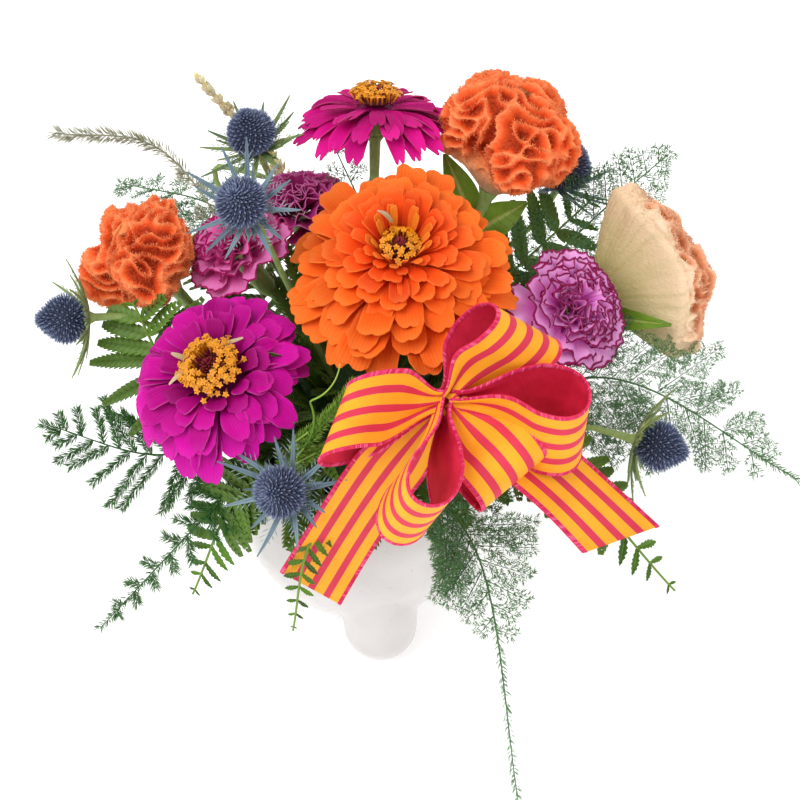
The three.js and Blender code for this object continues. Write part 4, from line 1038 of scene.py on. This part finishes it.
def add_bracts(skin, count, reach, rise, width, rng):
    """Narrow pointed bracts in a star, each with pairs of side spines."""
    rows = 12
    t, s = grid_axes(rows, 3)
    draw = draw_each(rng, count)
    angle = ((np.arange(count) + 0.3) * TAU / count)[:, None, None] + draw(-0.16, 0.16)
    long = reach * draw(0.7, 1.0)
    lift = rise * draw(0.3, 1.3)
    bend = draw(-0.35, 0.35)
    half = 0.5 * width * bulge(0.3, 0.99, t) ** 0.8 + 0.12
    x = 2.2 + (long - 2.2) * t
    y = half * s + bend * long * 0.25 * t**2
    grid = turned(x, y, lift * t**1.6 + 0.5 * np.abs(s) * half, angle)
    chance = draw(0, 1)
    add_blades(skin, grid, 0.4, across=s, chance=chance)
    for share in (0.3, 0.44, 0.56, 0.68, 0.8):
        row = int(share * (rows - 1))
        for hand in (-1, 1):
            root = grid[:, row, 1 + hand]
            along = unit(grid[:, row + 1, 1] - grid[:, row, 1])
            aside = unit(grid[:, row, 1 + hand] - grid[:, row, 1 - hand])
            spine = (0.24 * long * (1.2 - share))[:, 0, 0] * rng.uniform(0.7, 1.3, count)
            tip = root + spine[:, None] * (0.75 * along + 0.7 * aside + vec(0, 0, 0.15))
            add_needles(skin, root, tip, 0.28, chance=chance[:, 0, 0])


def add_stem(skin, name, node, radius, swelling):
    """A stem up to its flower, with the swelling below the flower: [distance below it, radius]."""
    head = HEADS[name]
    face = unit(head["face"])
    neck = head["at"] - face * swelling[0][0]
    straight_end = head["at"] - face * (swelling[0][0] + 0.12 * math.dist(neck, FAN_CENTRE))
    path = stem_curve(node, [*head["via"], straight_end], 22)
    depths = np.linspace(swelling[0][0], swelling[-1][0], 9)
    ends = head["at"] - face * depths[:, None]
    known = np.array(swelling)[::-1]
    radii = [radius] * len(path) + list(np.interp(depths, known[:, 0], known[:, 1]))
    add_tube(skin, np.concatenate([path, ends]), radii)
    return path


def thistle_stem(name, paint, seed):
    """The stalk of a sea holly and the two rings of bracts under its head."""
    node = name + "_bracts"
    stalk, star = Skin(), Skin().stand_on(name, -1.0)
    add_stem(stalk, name, node, 1.3, [(3.5, 1.8), (0.8, 3.2)])
    stalk.piece(name + "_stalk", "stem_green", "bract_blue_green")
    rng = np.random.default_rng(seed)
    add_bracts(star, 12, 31, 10, 2.1, rng)
    add_bracts(star, 13, 19, 6, 1.5, rng)
    star.piece(name + "_star", paint, "bract_blue_green", node)


GREEN_BRACTS = ("thistle_top", "thistle_far_left", "thistle_right")

for number, name in enumerate(n for n in HEADS if n.startswith("thistle")):
    thistle_head(name, 40 + number)
    thistle_stem(name, "green_bract" if name in GREEN_BRACTS else "bract", 50 + number)

# -------- stems and their leaves

# The radius of the stem, and the swelling below the flower: [distance below it, radius].
SWELLINGS = {
    "zinnia": (2.2, [(12, 2.6), (5, 7.5), (-0.5, 8)]),
    "carnation": (1.8, [(24, 2.2), (18, 4.8), (-2.5, 5.2)]),
    "celosia": (2.6, [(6, 3), (0.5, 5.2)]),
}
# Rings of scales round a zinnia's swelling: their lowest and highest place, and their radius.
SCALE_RINGS = ((-9, -3, 4.4), (-6.5, -1, 6.4), (-4, 0.5, 7.8))
SCALES_IN_RING = 11


def add_scales(skin, radius, low, high, rng):
    """Rounded overlapping scales round a zinnia's swelling."""
    t, s = grid_axes(5, 5)
    angle = (np.arange(SCALES_IN_RING) * TAU / SCALES_IN_RING)[:, None, None]
    draw = draw_each(rng, SCALES_IN_RING)
    angle = angle + draw(-0.1, 0.1)
    half = 2.6 * np.sqrt(np.clip(1 - (1.02 * t - 0.25) ** 2, 0.05, 1))
    x = radius + 0.5 + 0.5 * t - 0.25 * s**2
    add_blades(skin, turned(x, half * s, lerp(low, high, t), angle), 0.4, chance=draw(0, 1))


def flower_stem(name, seed):
    """The stem of a zinnia, carnation or cockscomb; also gives back its path."""
    kind = name.split("_")[0]
    node = name + "_stem"
    skin = Skin()
    path = add_stem(skin, name, node, *SWELLINGS[kind])
    if kind == "zinnia":
        skin.stand_on(name)
        rng = np.random.default_rng(seed)
        for low, high, wide in SCALE_RINGS:
            add_scales(skin, wide, low, high, rng)
    skin.piece(node + "_skin", "stem_green", "stem_green", node)
    return path


def add_leaf(skin, root, along, face, length, half, curl=0.15, fold=0.25):
    """One pointed leaf with a creased middle and a slightly wavy edge."""
    along = unit(along)
    side, up = leaf_axes(along, face)
    t, s = vector_axes(18, 9)
    wide = half * bulge(0.06, 0.985, t**0.85) + 0.4
    wave = 0.07 * half * np.sin(16 * t + 2 * s) * np.abs(s)
    lift = fold * wide * np.abs(s) - curl * length * t**2 + wave
    grid = root + along * length * t + side * wide * s + up * lift
    add_blades(skin, grid, 0.45, across=s[..., 0], along=t[..., 0], chance=0.5)


# Where on the stem's path, the way it grows, its length and half its width.
STEM_LEAVES = {
    "celosia_top": [(1.0, seen(-0.38, 0.86, 0.35), 36, 7), (0.985, seen(0.8, 0.45, 0.4), 31, 8)],
    "celosia_fan": [(1.0, seen(0.84, -0.12, 0.92), 66, 6)],
    "zinnia_top": [(0.55, vec(0.8, 0.2, 0.1), 30, 6.5)],
}

for number, name in enumerate(n for n in HEADS if not n.startswith("thistle")):
    path = flower_stem(name, 60 + number)
    for k, (share, along, length, half) in enumerate(STEM_LEAVES.get(name, [])):
        skin = Skin()
        add_leaf(skin, path[int(share * (len(path) - 1))], along, NEAR, length, half)
        skin.piece(f"{name}_leaf_{k + 1}", "leaf_green", "fern_green")

# -------- greens

FIRST_PAIR = 0.22
FIRST_PLUMES = 0.2


def rib_curve(name, spec, count=60):
    return stem_curve(name, [spec["mid"], spec["tip"]], count)


def stations_of(first, last, count):
    """Shares of a rib for its side leaves; the first third of the rib is in the foam."""
    return np.linspace(lerp(1 / 3, 1, first), last, count)


def add_rib(skin, path, thick, thin):
    add_tube(skin, path, np.linspace(thick, thin, len(path)), 6, along=0.2, across=0.0, chance=0.6)


def fern_frond(name, spec, seed):
    """A leather-fern frond: side leaves cut into toothed leaflets."""
    skin = Skin()
    rng = np.random.default_rng(seed)
    path = rib_curve(name, spec)
    add_rib(skin, path, 1.2, 0.5)
    face, reach = spec["face"], spec["reach"]
    stations = stations_of(FIRST_PAIR, 0.985, spec["pairs"])
    for number, share in enumerate(stations):
        place = int(share * (len(path) - 1))
        tangent = tangent_at(path, place)
        long = reach * math.sin(math.pi * lerp(0.27, 0.96, number / (len(stations) - 1))) ** 0.8
        for hand in (-1, 1):
            side = hand * unit(np.cross(face, tangent))
            along = unit(side + (0.5 + 0.2 * rng.random()) * tangent)
            add_pinna(skin, path[place], along, face, long * rng.uniform(0.86, 1.0), 0.1 * reach + 1.6, rng)
    skin.piece(name + "_leaves", "fern_green", "fern_green", name)


TEETH = 6
SHORT_PINNA = 16


def add_toothed_leaf(skin, root, along, face, length, rng):
    """One narrow leaflet with TEETH teeth on each side."""
    side, up = leaf_axes(along, face)
    t, s = vector_axes(29, 5)
    teeth = 1 - 0.42 * ((TEETH * t) % 1)
    wide = 0.16 * length * bulge(0.12, 1.0, t) ** 0.9 * teeth
    centre = root + along * length * t - up * 0.16 * length * t**2
    grid = centre + side * wide * s + along * 0.5 * wide * np.abs(s) + up * 0.3 * wide * np.abs(s)
    add_blades(skin, grid, 0.35, across=s[..., 0], chance=rng.random())


def add_pinna(skin, root, along, face, length, half, rng):
    """A side leaf: toothed when short, else a vein with rows of forward-pointing leaflets."""
    if length < SHORT_PINNA:
        add_toothed_leaf(skin, root, along, face, length, rng)
        return
    side, up = leaf_axes(along, face)
    pairs = max(4, int(length / 2.6))
    share = (np.arange(pairs) + 0.4) / pairs
    sag = -0.14 * length
    spine = root + along * (length * share)[:, None] + up * (sag * share**2)[:, None]
    t, s = vector_axes(10, 3)
    width = 0.46 * length / pairs
    wide = width * bulge(0.24, 1.0, t) ** 1.1 * (1 + 0.25 * np.sin(9 * math.pi * t))
    leaflet = (half * bulge(0.32, 0.93, share) * 1.4)[:, None, None, None]
    tone = rng.random()
    for hand in (-1, 1):
        lean = unit(along + hand * 0.72 * side)
        aside = unit(np.cross(lean, up))
        grid = spine[:, None, None] + lean * leaflet * t + aside * wide * s
        grid = grid + up * (0.12 * leaflet * np.sin(math.pi * t) + 0.25 * np.abs(s) * wide)
        add_blades(skin, grid, 0.35, across=0.25 + 0.75 * t[..., 0], chance=tone)
    vein = np.stack([root, *spine, root + along * length + up * sag])
    add_tube(skin, vein, np.linspace(0.45, 0.2, len(vein)), 5, across=0.0, chance=tone)


def add_plume(skin, root, along, face, length, with_branchlets, rng):
    """A needle plume: flat with branchlets of needles, or with the needles all round its axis."""
    side, up = leaf_axes(along, face)
    droop = -0.12 * length

    def axis_at(share):
        return root + along * (length * share)[:, None] + up * (droop * share**2)[:, None]

    count = max(4, int(length / 3))
    axis = axis_at(np.linspace(0, 1, count))
    add_tube(skin, axis, np.linspace(0.3, 0.12, count), 4, along=0.2, chance=0.4)
    if not with_branchlets:
        dense = lerp(axis[0], axis[-1], np.linspace(0, 1, int(length / 0.7) + 2)[:, None])
        add_needle_brush(skin, dense, 4.8, 6, rng, 0.24)
        return
    branches = max(3, int(length / 2.9))
    for hand in (-1, 1):
        place = (np.arange(branches) + 0.5 * rng.random()) / branches
        start = axis_at(place)
        long = (3 + 0.16 * length) * bulge(0.3, 0.95, place)
        long = long * rng.uniform(0.7, 1.2, branches)
        way = along * rng.uniform(0.8, 1.3, (branches, 1)) + hand * side
        way = unit(way + up * rng.normal(0, 0.3, branches)[:, None])
        tip = start + way * long[:, None]
        add_needles(skin, start, tip, 0.16, chance=0.4)
        for begin, end in zip(start, tip):
            step = max(3, int(math.dist(begin, end)))
            add_needle_brush(skin, lerp(begin, end, np.linspace(0.1, 1, step)[:, None]), 2.7, 4, rng, 0.22)


def add_needle_brush(skin, axis, reach, whorl, rng, radius):
    """Short needles in whorls, leaning forwards along an axis."""
    tangent = np.repeat(unit(np.gradient(axis, axis=0)), whorl, axis=0)
    root = np.repeat(axis, whorl, axis=0)
    side, up = side_axes(tangent)
    turn = rng.uniform(0, TAU, (len(root), 1))
    way = unit(tangent + np.cos(turn) * side + np.sin(turn) * up)
    long = reach * rng.uniform(0.7, 1.2, (len(root), 1))
    add_needles(skin, root, root + way * long, radius, chance=rng.uniform(0, 1, len(root)))


def spray(name, spec, seed):
    """An asparagus-fern spray: a wiry rib with needle plumes on both sides."""
    skin = Skin()
    rng = np.random.default_rng(seed)
    path = rib_curve(name, spec)
    add_rib(skin, path, 0.9, 0.25)
    face, with_branchlets = spec["face"], spec["feathery"]
    plumes_end, needle = spec.get("brush", (0.97, 0))
    stations = stations_of(FIRST_PLUMES, plumes_end, spec["pairs"])
    for number, share in enumerate(stations):
        t = number / (len(stations) - 1)
        full = spec["reach"] * math.sin(math.pi * lerp(0.4, 0.9, t)) ** 1.2
        for hand in (-1, 1):
            reach = full * (lerp(spec.get("upper", 1.0), 1, float(smooth(1.5 * t))) if hand > 0 else 1)
            place = int((share + 0.012 * hand) * (len(path) - 1))
            tangent = tangent_at(path, place)
            side = hand * unit(np.cross(face, tangent))
            along = unit(side + rng.uniform(0.6, 1.1) * tangent + face * rng.uniform(-0.15, 0.15))
            add_plume(skin, path[place], along, face, reach * rng.uniform(0.7, 1.0), with_branchlets, rng)
    if "brush" in spec:
        dense = rib_curve(name, spec, 240)
        needled = int(spec.get("needled", plumes_end - 0.02) * len(dense))
        add_needle_brush(skin, dense[needled:], needle, 4, rng, 0.26)
    else:
        add_plume(skin, path[-3], unit(path[-1] - path[-3]), face, 9, with_branchlets, rng)
    skin.piece(name + "_plumes", spec["paint"], "asparagus_green", name)


for number, (name, spec) in enumerate(FERNS.items()):
    fern_frond(name, spec, 70 + number)
for number, (name, spec) in enumerate(SPRAYS.items()):
    spray(name, spec, 90 + number)

TUFT_COUNT = 24
SCALES_IN_TUFT = 7


def pale_spike():
    """A cream plume: tufts of soft scales round a thin stem, closing to a slim tip."""
    skin = Skin()
    rng = np.random.default_rng(110)
    path = stem_curve("pale_spike", SPIKE_WAY, 80)
    radii = np.interp(np.linspace(0, 1, len(path)), [0, 0.45, 0.55, 0.8, 1], [1.2, 1.3, 1.8, 1.6, 1.0])
    add_tube(skin, path, radii, 8, along=0.3, chance=0.6)
    count = SCALES_IN_TUFT
    for share in np.linspace(0.5, 0.98, TUFT_COUNT):
        place = int(share * (len(path) - 1))
        tangent = np.repeat(tangent_at(path, place)[None], count, axis=0)
        side, up = side_axes(tangent)
        turn = (np.arange(count) * TAU / count + rng.uniform(0, 1))[:, None]
        out = np.cos(turn) * side + np.sin(turn) * up
        flare = lerp(1.2, 0.3, smooth((share - 0.6) / 0.38)) * rng.uniform(0.6, 1.2, (count, 1))
        way = unit(tangent + flare * out)
        long = lerp(10.5, 4.5, share) * rng.uniform(0.8, 1.2, (count, 1))
        root = path[place] + 0.6 * out
        add_rods(skin, root, root + way * long, 1.3, TUFT, 5, chance=rng.uniform(0, 1, count))
    skin.piece("pale_spike_tufts", "spike", "spike_cream", "pale_spike")


pale_spike()

# Rings of short fern tips: radius and height of their roots, how many, how steep and how long they are.
FILLER_RINGS = (
    (44, 120, 22, -0.05, 34),
    (32, 138, 16, 0.35, 32),
    (14, 143, 9, 0.9, 26),
    (27, 140, 14, 1.2, 52),
    (20, 142, 11, 2.2, 58),
)


def filler_greens():
    """Short fern tips that cover the foam all round, between the stems and over the rim."""
    skin = Skin()
    rng = np.random.default_rng(120)
    for ring, (radius, height, count, lean, long) in enumerate(FILLER_RINGS):
        for k in range(count):
            angle = TAU * (k + 0.5 * ring) / count + rng.uniform(-0.1, 0.1)
            out = vec(math.cos(angle), math.sin(angle), 0)
            root = radius * out + vec(0, 0, height)
            along = unit(out + vec(0, 0, lean + rng.uniform(-0.15, 0.25)))
            face = unit(vec(0, 0, 1) - along * along[2] + 0.15 * rng.normal(size=3))
            add_pinna(skin, root, along, face, long * rng.uniform(0.75, 1.15), 8.5, rng)
    skin.piece("filler_greens", "fern_green", "fern_green")


filler_greens()

# Where each sprig in front comes into sight, and its way from there.
FRONT_SPRIGS = (
    (vec(-30, -62, 162), vec(32, -3, 40)),
    (vec(-27, -64, 158), vec(23, -4, 44)),
    (vec(-28, -64, 154), vec(36, -4, 30)),
)
SPRIG_FOOT = (vec(-10, -22, 132), vec(-24, -50, 146))
TENDRIL_ENDS = (vec(-24, -64, 164), vec(-8, -54, 204))


def front_sprigs():
    """Thin needle sprigs and a curled tendril in front of the middle, between zinnias and bow."""
    skin = Skin()
    rng = np.random.default_rng(125)
    for root, way in FRONT_SPRIGS:
        bend = curve([*SPRIG_FOOT, root, root + way / 4], np.linspace(0, 1, 20))
        add_tube(skin, bend, np.linspace(0.9, 0.4, 20), 6, chance=0.5)
        add_plume(skin, root, unit(way), NEAR, math.hypot(*way), False, rng)
    t = np.linspace(0, 1, 40)[:, None]
    coil = 5 * np.sin(math.pi * t) * (np.cos(5.5 * t) * RIGHT + np.sin(5.5 * t) * UP)
    add_tube(skin, lerp(*TENDRIL_ENDS, t) + coil + 3 * NEAR, np.linspace(0.6, 0.3, 40), 6, chance=0.8)
    skin.piece("front_sprigs", "fresh_needles", "asparagus_green")


front_sprigs()

# -------- the bow

RIBBON_WIDTH = 38
KNOT_EDGE = 1.5
KNOT_HEIGHT = 13
TAIL_DEPTH = 6
GATHER = 10
STITCH_SPACING = 0.95
STRIP_COLUMNS = 15

# Each loop leaves the knot along dir, opens towards open and has its width along across; all three are
# ways in the picture plane and towards its viewer.
LOOPS = [
    dict(dir=(0.72, 0.7, 0), open=(0.42, -0.33, 0.84), across=(0.74, -0.38, -0.55), length=46),
    dict(dir=(1, -0.18, 0), open=(-0.1, -0.75, 0.66), across=(-0.05, -0.65, -0.75), length=58, belly=14),
    dict(dir=(-0.97, -0.2, 0.05), open=(0.05, 0.3, 0.95), across=(-0.34, -0.85, -0.4), length=48),
    dict(dir=(0.64, -0.77, 0.1), open=(0.1, 0.15, 0.98), across=(-0.72, -0.6, 0.2), length=44),
    dict(dir=(-0.24, -0.83, 0.5), open=(-0.94, 0.22, 0.27), across=(-0.34, -0.47, -0.81), length=60),
]
TAILS = [
    dict(tip=vec(111, -98, 143), across=unit(vec(-0.42, -0.9, 0.02)), slant=-12),
    dict(tip=vec(-22, -90, 102), across=vec(-0.8, -0.23, 0.55), slant=-5),
]


def strip_axes(rows):
    """Shares of the way along and across one strip of ribbon, for grids shaped (row, column, 3)."""
    return np.linspace(0, 1, rows)[:, None, None], np.linspace(-1, 1, STRIP_COLUMNS)[None, :, None]


def loop_strip(dir, open, across, length, belly=11):
    """The ribbon of one loop, out from the knot and back to it."""
    dir, open, across = seen(*dir), seen(*open), seen(*across)
    t, s = strip_axes(72)
    out = np.sin(math.pi * t) ** 0.8
    lift = lerp(0.17 * np.sign(0.5 - t), np.sin(TAU * t), np.minimum(1, 1.6 * out))
    half = 0.5 * lerp(GATHER, RIBBON_WIDTH, smooth(2 * out))
    centre = KNOT + dir * lerp(KNOT_EDGE, length, out) + open * belly * lift
    pleat = 1.2 * (1 - smooth(1.6 * out)) * np.cos(2.5 * math.pi * s)
    if np.cross(dir, across) @ open < 0:
        across = -across
    return centre + across * half * s + np.cross(dir, across) * pleat


def tail_strip(tip, across, slant):
    """The ribbon of one tail, from behind the knot to its slanting end."""
    t, s = strip_axes(50)
    along = unit(tip - KNOT)
    if np.cross(along, across) @ NEAR < 0:
        across, slant = -across, -slant
    half = 0.5 * lerp(GATHER, RIBBON_WIDTH, smooth(2.4 * t))
    centre = lerp(KNOT - TAIL_DEPTH * NEAR, tip, t) + vec(0, 0, 1) * 7 * np.sin(math.pi * t)
    pleat = 1.2 * (1 - smooth(2.2 * t)) * np.cos(2.5 * math.pi * s) + 0.8 * np.sin(7 * t) * t * s
    return centre + across * half * s + along * slant * s * t + np.cross(along, across) * pleat


def run_along(line):
    """How far along a line each of its points is."""
    return np.concatenate([[0], np.cumsum(np.linalg.norm(np.diff(line, axis=0), axis=1))])


def between(spots, lengths, table):
    """Rows of a table that is known at some lengths, at other spots between them."""
    return np.stack([np.interp(spots, lengths, column) for column in table.T], axis=1)


def add_stitches(skin, grid, rng):
    """Overlocked stitches along both edges of a strip of ribbon, on both of its faces."""
    normal = unit(np.cross(np.gradient(grid, axis=0), np.gradient(grid, axis=1)))
    for edge, inner in ((0, 1), (-1, -2)):
        lengths = run_along(grid[:, edge])
        spots = np.arange(0.5, lengths[-1], STITCH_SPACING)
        outer = between(spots, lengths, grid[:, edge])
        inward = between(spots + 0.6, lengths, lerp(grid[:, edge], grid[:, inner], 0.75))
        out = between(spots, lengths, normal[:, edge])
        chance = rng.uniform(0, 1, len(spots))
        for face in (1, -1):
            ends = (outer + face * 0.2 * out, inward + face * 0.3 * out)
            add_rods(skin, *ends, 0.42, STITCH, 5, chance=chance)


def add_knot(skin):
    """A pleated barrel of ribbon round the middle of the bow."""
    rings, sides = 15, 64
    t = np.linspace(0, 1, rings)[:, None]
    a = (np.arange(sides) * TAU / sides)[None]
    r = 2.0 + 3.8 * bulge(0.12, 0.9, t) ** 0.7 * (1 + 0.07 * np.cos(11 * a + 2 * t))
    height = KNOT_HEIGHT * t
    points = turned(r, 0, height, a) * vec(1.15, 1, 1)
    skin.add(points, ring_faces(rings, sides), along=height, across=0.0, under=1.0)


def ribbon_bow():
    """The ribbon, the stitches along its edges and the gathered wrap at its middle."""
    cloth, stitches, wrap = Skin(), Skin(), Skin()
    rng = np.random.default_rng(130)
    for grid in [loop_strip(**loop) for loop in LOOPS] + [tail_strip(**tail) for tail in TAILS]:
        run = run_along(grid[:, STRIP_COLUMNS // 2])
        across = np.linspace(-1, 1, STRIP_COLUMNS)
        add_blades(cloth, grid[None], 0.5, across=across[None, None], along=run[None, :, None])
        add_stitches(stitches, grid, rng)
    bow = cloth.piece("bow_ribbon", "ribbon", "ribbon_cloth", "ribbon_bow")
    edges = stitches.piece("bow_stitches", "stitches", "ribbon_cloth")
    wrap.stand(KNOT - 15 * NEAR, NEAR)
    add_knot(wrap)
    knot = wrap.piece("bow_wrap", "ribbon", "ribbon_cloth")


ribbon_bow()

# -------- the bowl and the foam

BOWL_RADIUS = 59
BOWL_CENTRE_Z = 66
BOWL_WALL = 4.5
RIM_RADIUS = 54
LEG_RADIUS = 17.5
LEG_CIRCLE = 39.5
LEG_FLAT = 6
LEG_TOP_Z = 54
LEGS = 3
FIRST_LEG_ANGLE = -78.7
REMESH = 1.3
CUTTER_RISE = 1


def lathe(profile, sides):
    """A closed solid of revolution as a Blender object; the profile runs from axis to axis."""
    inner = np.array(profile[1:-1], dtype=float)
    a = np.arange(sides) * TAU / sides
    rings = turned(inner[:, None, 0], 0, inner[:, None, 1], a)
    points = np.concatenate([rings.reshape(-1, 3), [[0, 0, profile[0][1]], [0, 0, profile[-1][1]]]])
    faces = []
    count = len(inner)
    for k in range(sides):
        n = (k + 1) % sides
        faces.append([count * sides, n, k])
        for i in range(count - 1):
            faces.append([i * sides + k, i * sides + n, (i + 1) * sides + n, (i + 1) * sides + k])
        faces.append([count * sides + 1, (count - 1) * sides + k, (count - 1) * sides + n])
    mesh = bpy.data.meshes.new("lathe")
    mesh.from_pydata((points * MM).tolist(), [], faces)
    return add_object("lathe", mesh)


def apply_modifiers(obj):
    bpy.context.view_layer.objects.active = obj
    depsgraph = bpy.context.evaluated_depsgraph_get()
    mesh = bpy.data.meshes.new_from_object(obj.evaluated_get(depsgraph))
    obj.modifiers.clear()
    obj.data = mesh


def combine(obj, operation, tool):
    """A Boolean of an object and a tool, which is used up."""
    modifier = obj.modifiers.new(operation.lower(), "BOOLEAN")
    modifier.operation = operation
    modifier.object = tool
    apply_modifiers(obj)
    bpy.data.objects.remove(tool)


def bowl_profile(radius, mouth, top):
    """A half outline: round below, leaning in to its mouth above."""
    arc = [math.radians(a) for a in range(0, 91, 6)]
    outline = [(radius * math.sin(a), BOWL_CENTRE_Z - radius * math.cos(a)) for a in arc]
    lean = [(t, lerp(radius, mouth, t**2)) for t in (0.15, 0.3, 0.5, 0.75, 1.0)]
    outline += [(r, lerp(BOWL_CENTRE_Z + 8, top, t)) for t, r in lean]
    return outline + [(0, top)]


def leg_profile():
    """A half outline: a rounded foot with a small flat under it, and straight above."""
    rest = LEG_RADIUS * (1 - math.sqrt(1 - (LEG_FLAT / LEG_RADIUS) ** 2))
    start = math.asin(LEG_FLAT / LEG_RADIUS)
    cap = [lerp(start, math.pi / 2, t / 8) for t in range(9)]
    side = [(LEG_RADIUS * math.sin(a), LEG_RADIUS * (1 - math.cos(a)) - rest) for a in cap]
    return [(0, 0), *side, (LEG_RADIUS, LEG_TOP_Z), (0, LEG_TOP_Z)]


def bowl():
    """A round bowl that leans in to its rim, on three stub legs, its joins and rim softened as by glaze."""
    outer = lathe(bowl_profile(BOWL_RADIUS, RIM_RADIUS, RIM_Z), 96)
    inner = lathe(bowl_profile(BOWL_RADIUS - BOWL_WALL, RIM_RADIUS - BOWL_WALL, RIM_Z + CUTTER_RISE), 96)
    for k in range(LEGS):
        leg = lathe(leg_profile(), 48)
        angle = math.radians(FIRST_LEG_ANGLE + 360 / LEGS * k)
        foot = Vector((LEG_CIRCLE * math.cos(angle), LEG_CIRCLE * math.sin(angle), 0))
        leg.data.transform(Matrix.Translation(foot * MM))
        combine(outer, "UNION", leg)
    combine(outer, "DIFFERENCE", inner)
    remesh = outer.modifiers.new("skin", "REMESH")
    remesh.mode = "VOXEL"
    remesh.voxel_size = REMESH * MM
    soften = outer.modifiers.new("soften", "SMOOTH")
    soften.factor = 0.5
    soften.iterations = 7
    apply_modifiers(outer)
    outer.data.transform(Matrix.Translation(Vector(TABLE * MM)))
    outer.data.shade_smooth()
    outer.name = "bowl_glazed"
    dress(outer, PAINTS["glaze"], "bowl_glaze", "bowl")


bowl()
for node, paint in (("foam", "floral_foam"), ("bow_pick", "pick_wood")):
    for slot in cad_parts[node].material_slots:
        slot.material = PAINTS[paint]

# -------- floor, light and camera

VIEW_TARGET = vec(17.1, -10.7, 139.3)
VIEW_DISTANCE = 1100
VIEW_ELEVATION = 45
LENS = 110
FLOOR_HALF = 4.0
FLOOR_GLOW = 0.35
WORLD_STRENGTH = 0.68
WHITE = (1, 1, 1, 1)
LIGHT_AIM = Vector((0, 0, 0.15))

# In metres, as are the floor and the lights' places and sizes; power in watts.
LIGHTS = {
    "key": dict(place=(-0.9, -0.7, 1.7), size=1.4, power=22),
    "fill": dict(place=(1.3, -0.9, 1.0), size=1.6, power=6),
    "back": dict(place=(0.3, 1.6, 1.3), size=1.4, power=8),
}


def floor():
    """A wide white table, a little lit up so that it meets the white world."""
    mesh = bpy.data.meshes.new("floor")
    corners = [(x * FLOOR_HALF, y * FLOOR_HALF, 0) for x, y in ((-1, -1), (1, -1), (1, 1), (-1, 1))]
    mesh.from_pydata(corners, [], [(0, 1, 2, 3)])
    paint = Paint("floor_white", roughness=0.9, emission_strength=FLOOR_GLOW)
    paint.shader.inputs["Emission Color"].default_value = WHITE
    mesh.materials.append(paint.finish(paint.ramp(paint.noise(300), (0.3, "#f4f4f4"), (0.7, "#f8f8f8"))))
    add_object("floor", mesh)


def soft_light(name, place, size, power):
    light = bpy.data.lights.new(name, "AREA")
    light.shape = "DISK"
    light.size = size
    light.energy = power
    obj = add_object(name, light)
    obj.location = place
    obj.rotation_euler = (LIGHT_AIM - Vector(place)).to_track_quat("-Z", "Y").to_euler()


def white_world():
    world = bpy.data.worlds.new("studio")
    world.use_nodes = True
    background = world.node_tree.nodes["Background"]
    background.inputs["Color"].default_value = WHITE
    background.inputs["Strength"].default_value = WORLD_STRENGTH
    bpy.context.scene.world = world
    bpy.context.scene.view_settings.view_transform = "Standard"


def camera():
    """Looks down at the target at VIEW_ELEVATION degrees, from the front."""
    target = Vector((VIEW_TARGET + TABLE) * MM)
    tilt = math.radians(VIEW_ELEVATION)
    data = bpy.data.cameras.new("camera")
    data.lens = LENS
    data.sensor_width = 36
    obj = add_object("camera", data)
    obj.location = target + Vector((0, -math.cos(tilt), math.sin(tilt))) * VIEW_DISTANCE * MM
    obj.rotation_euler = (math.pi / 2 - tilt, 0, 0)
    bpy.context.scene.camera = obj


floor()
for name, light in LIGHTS.items():
    soft_light(name, **light)
white_world()
camera()
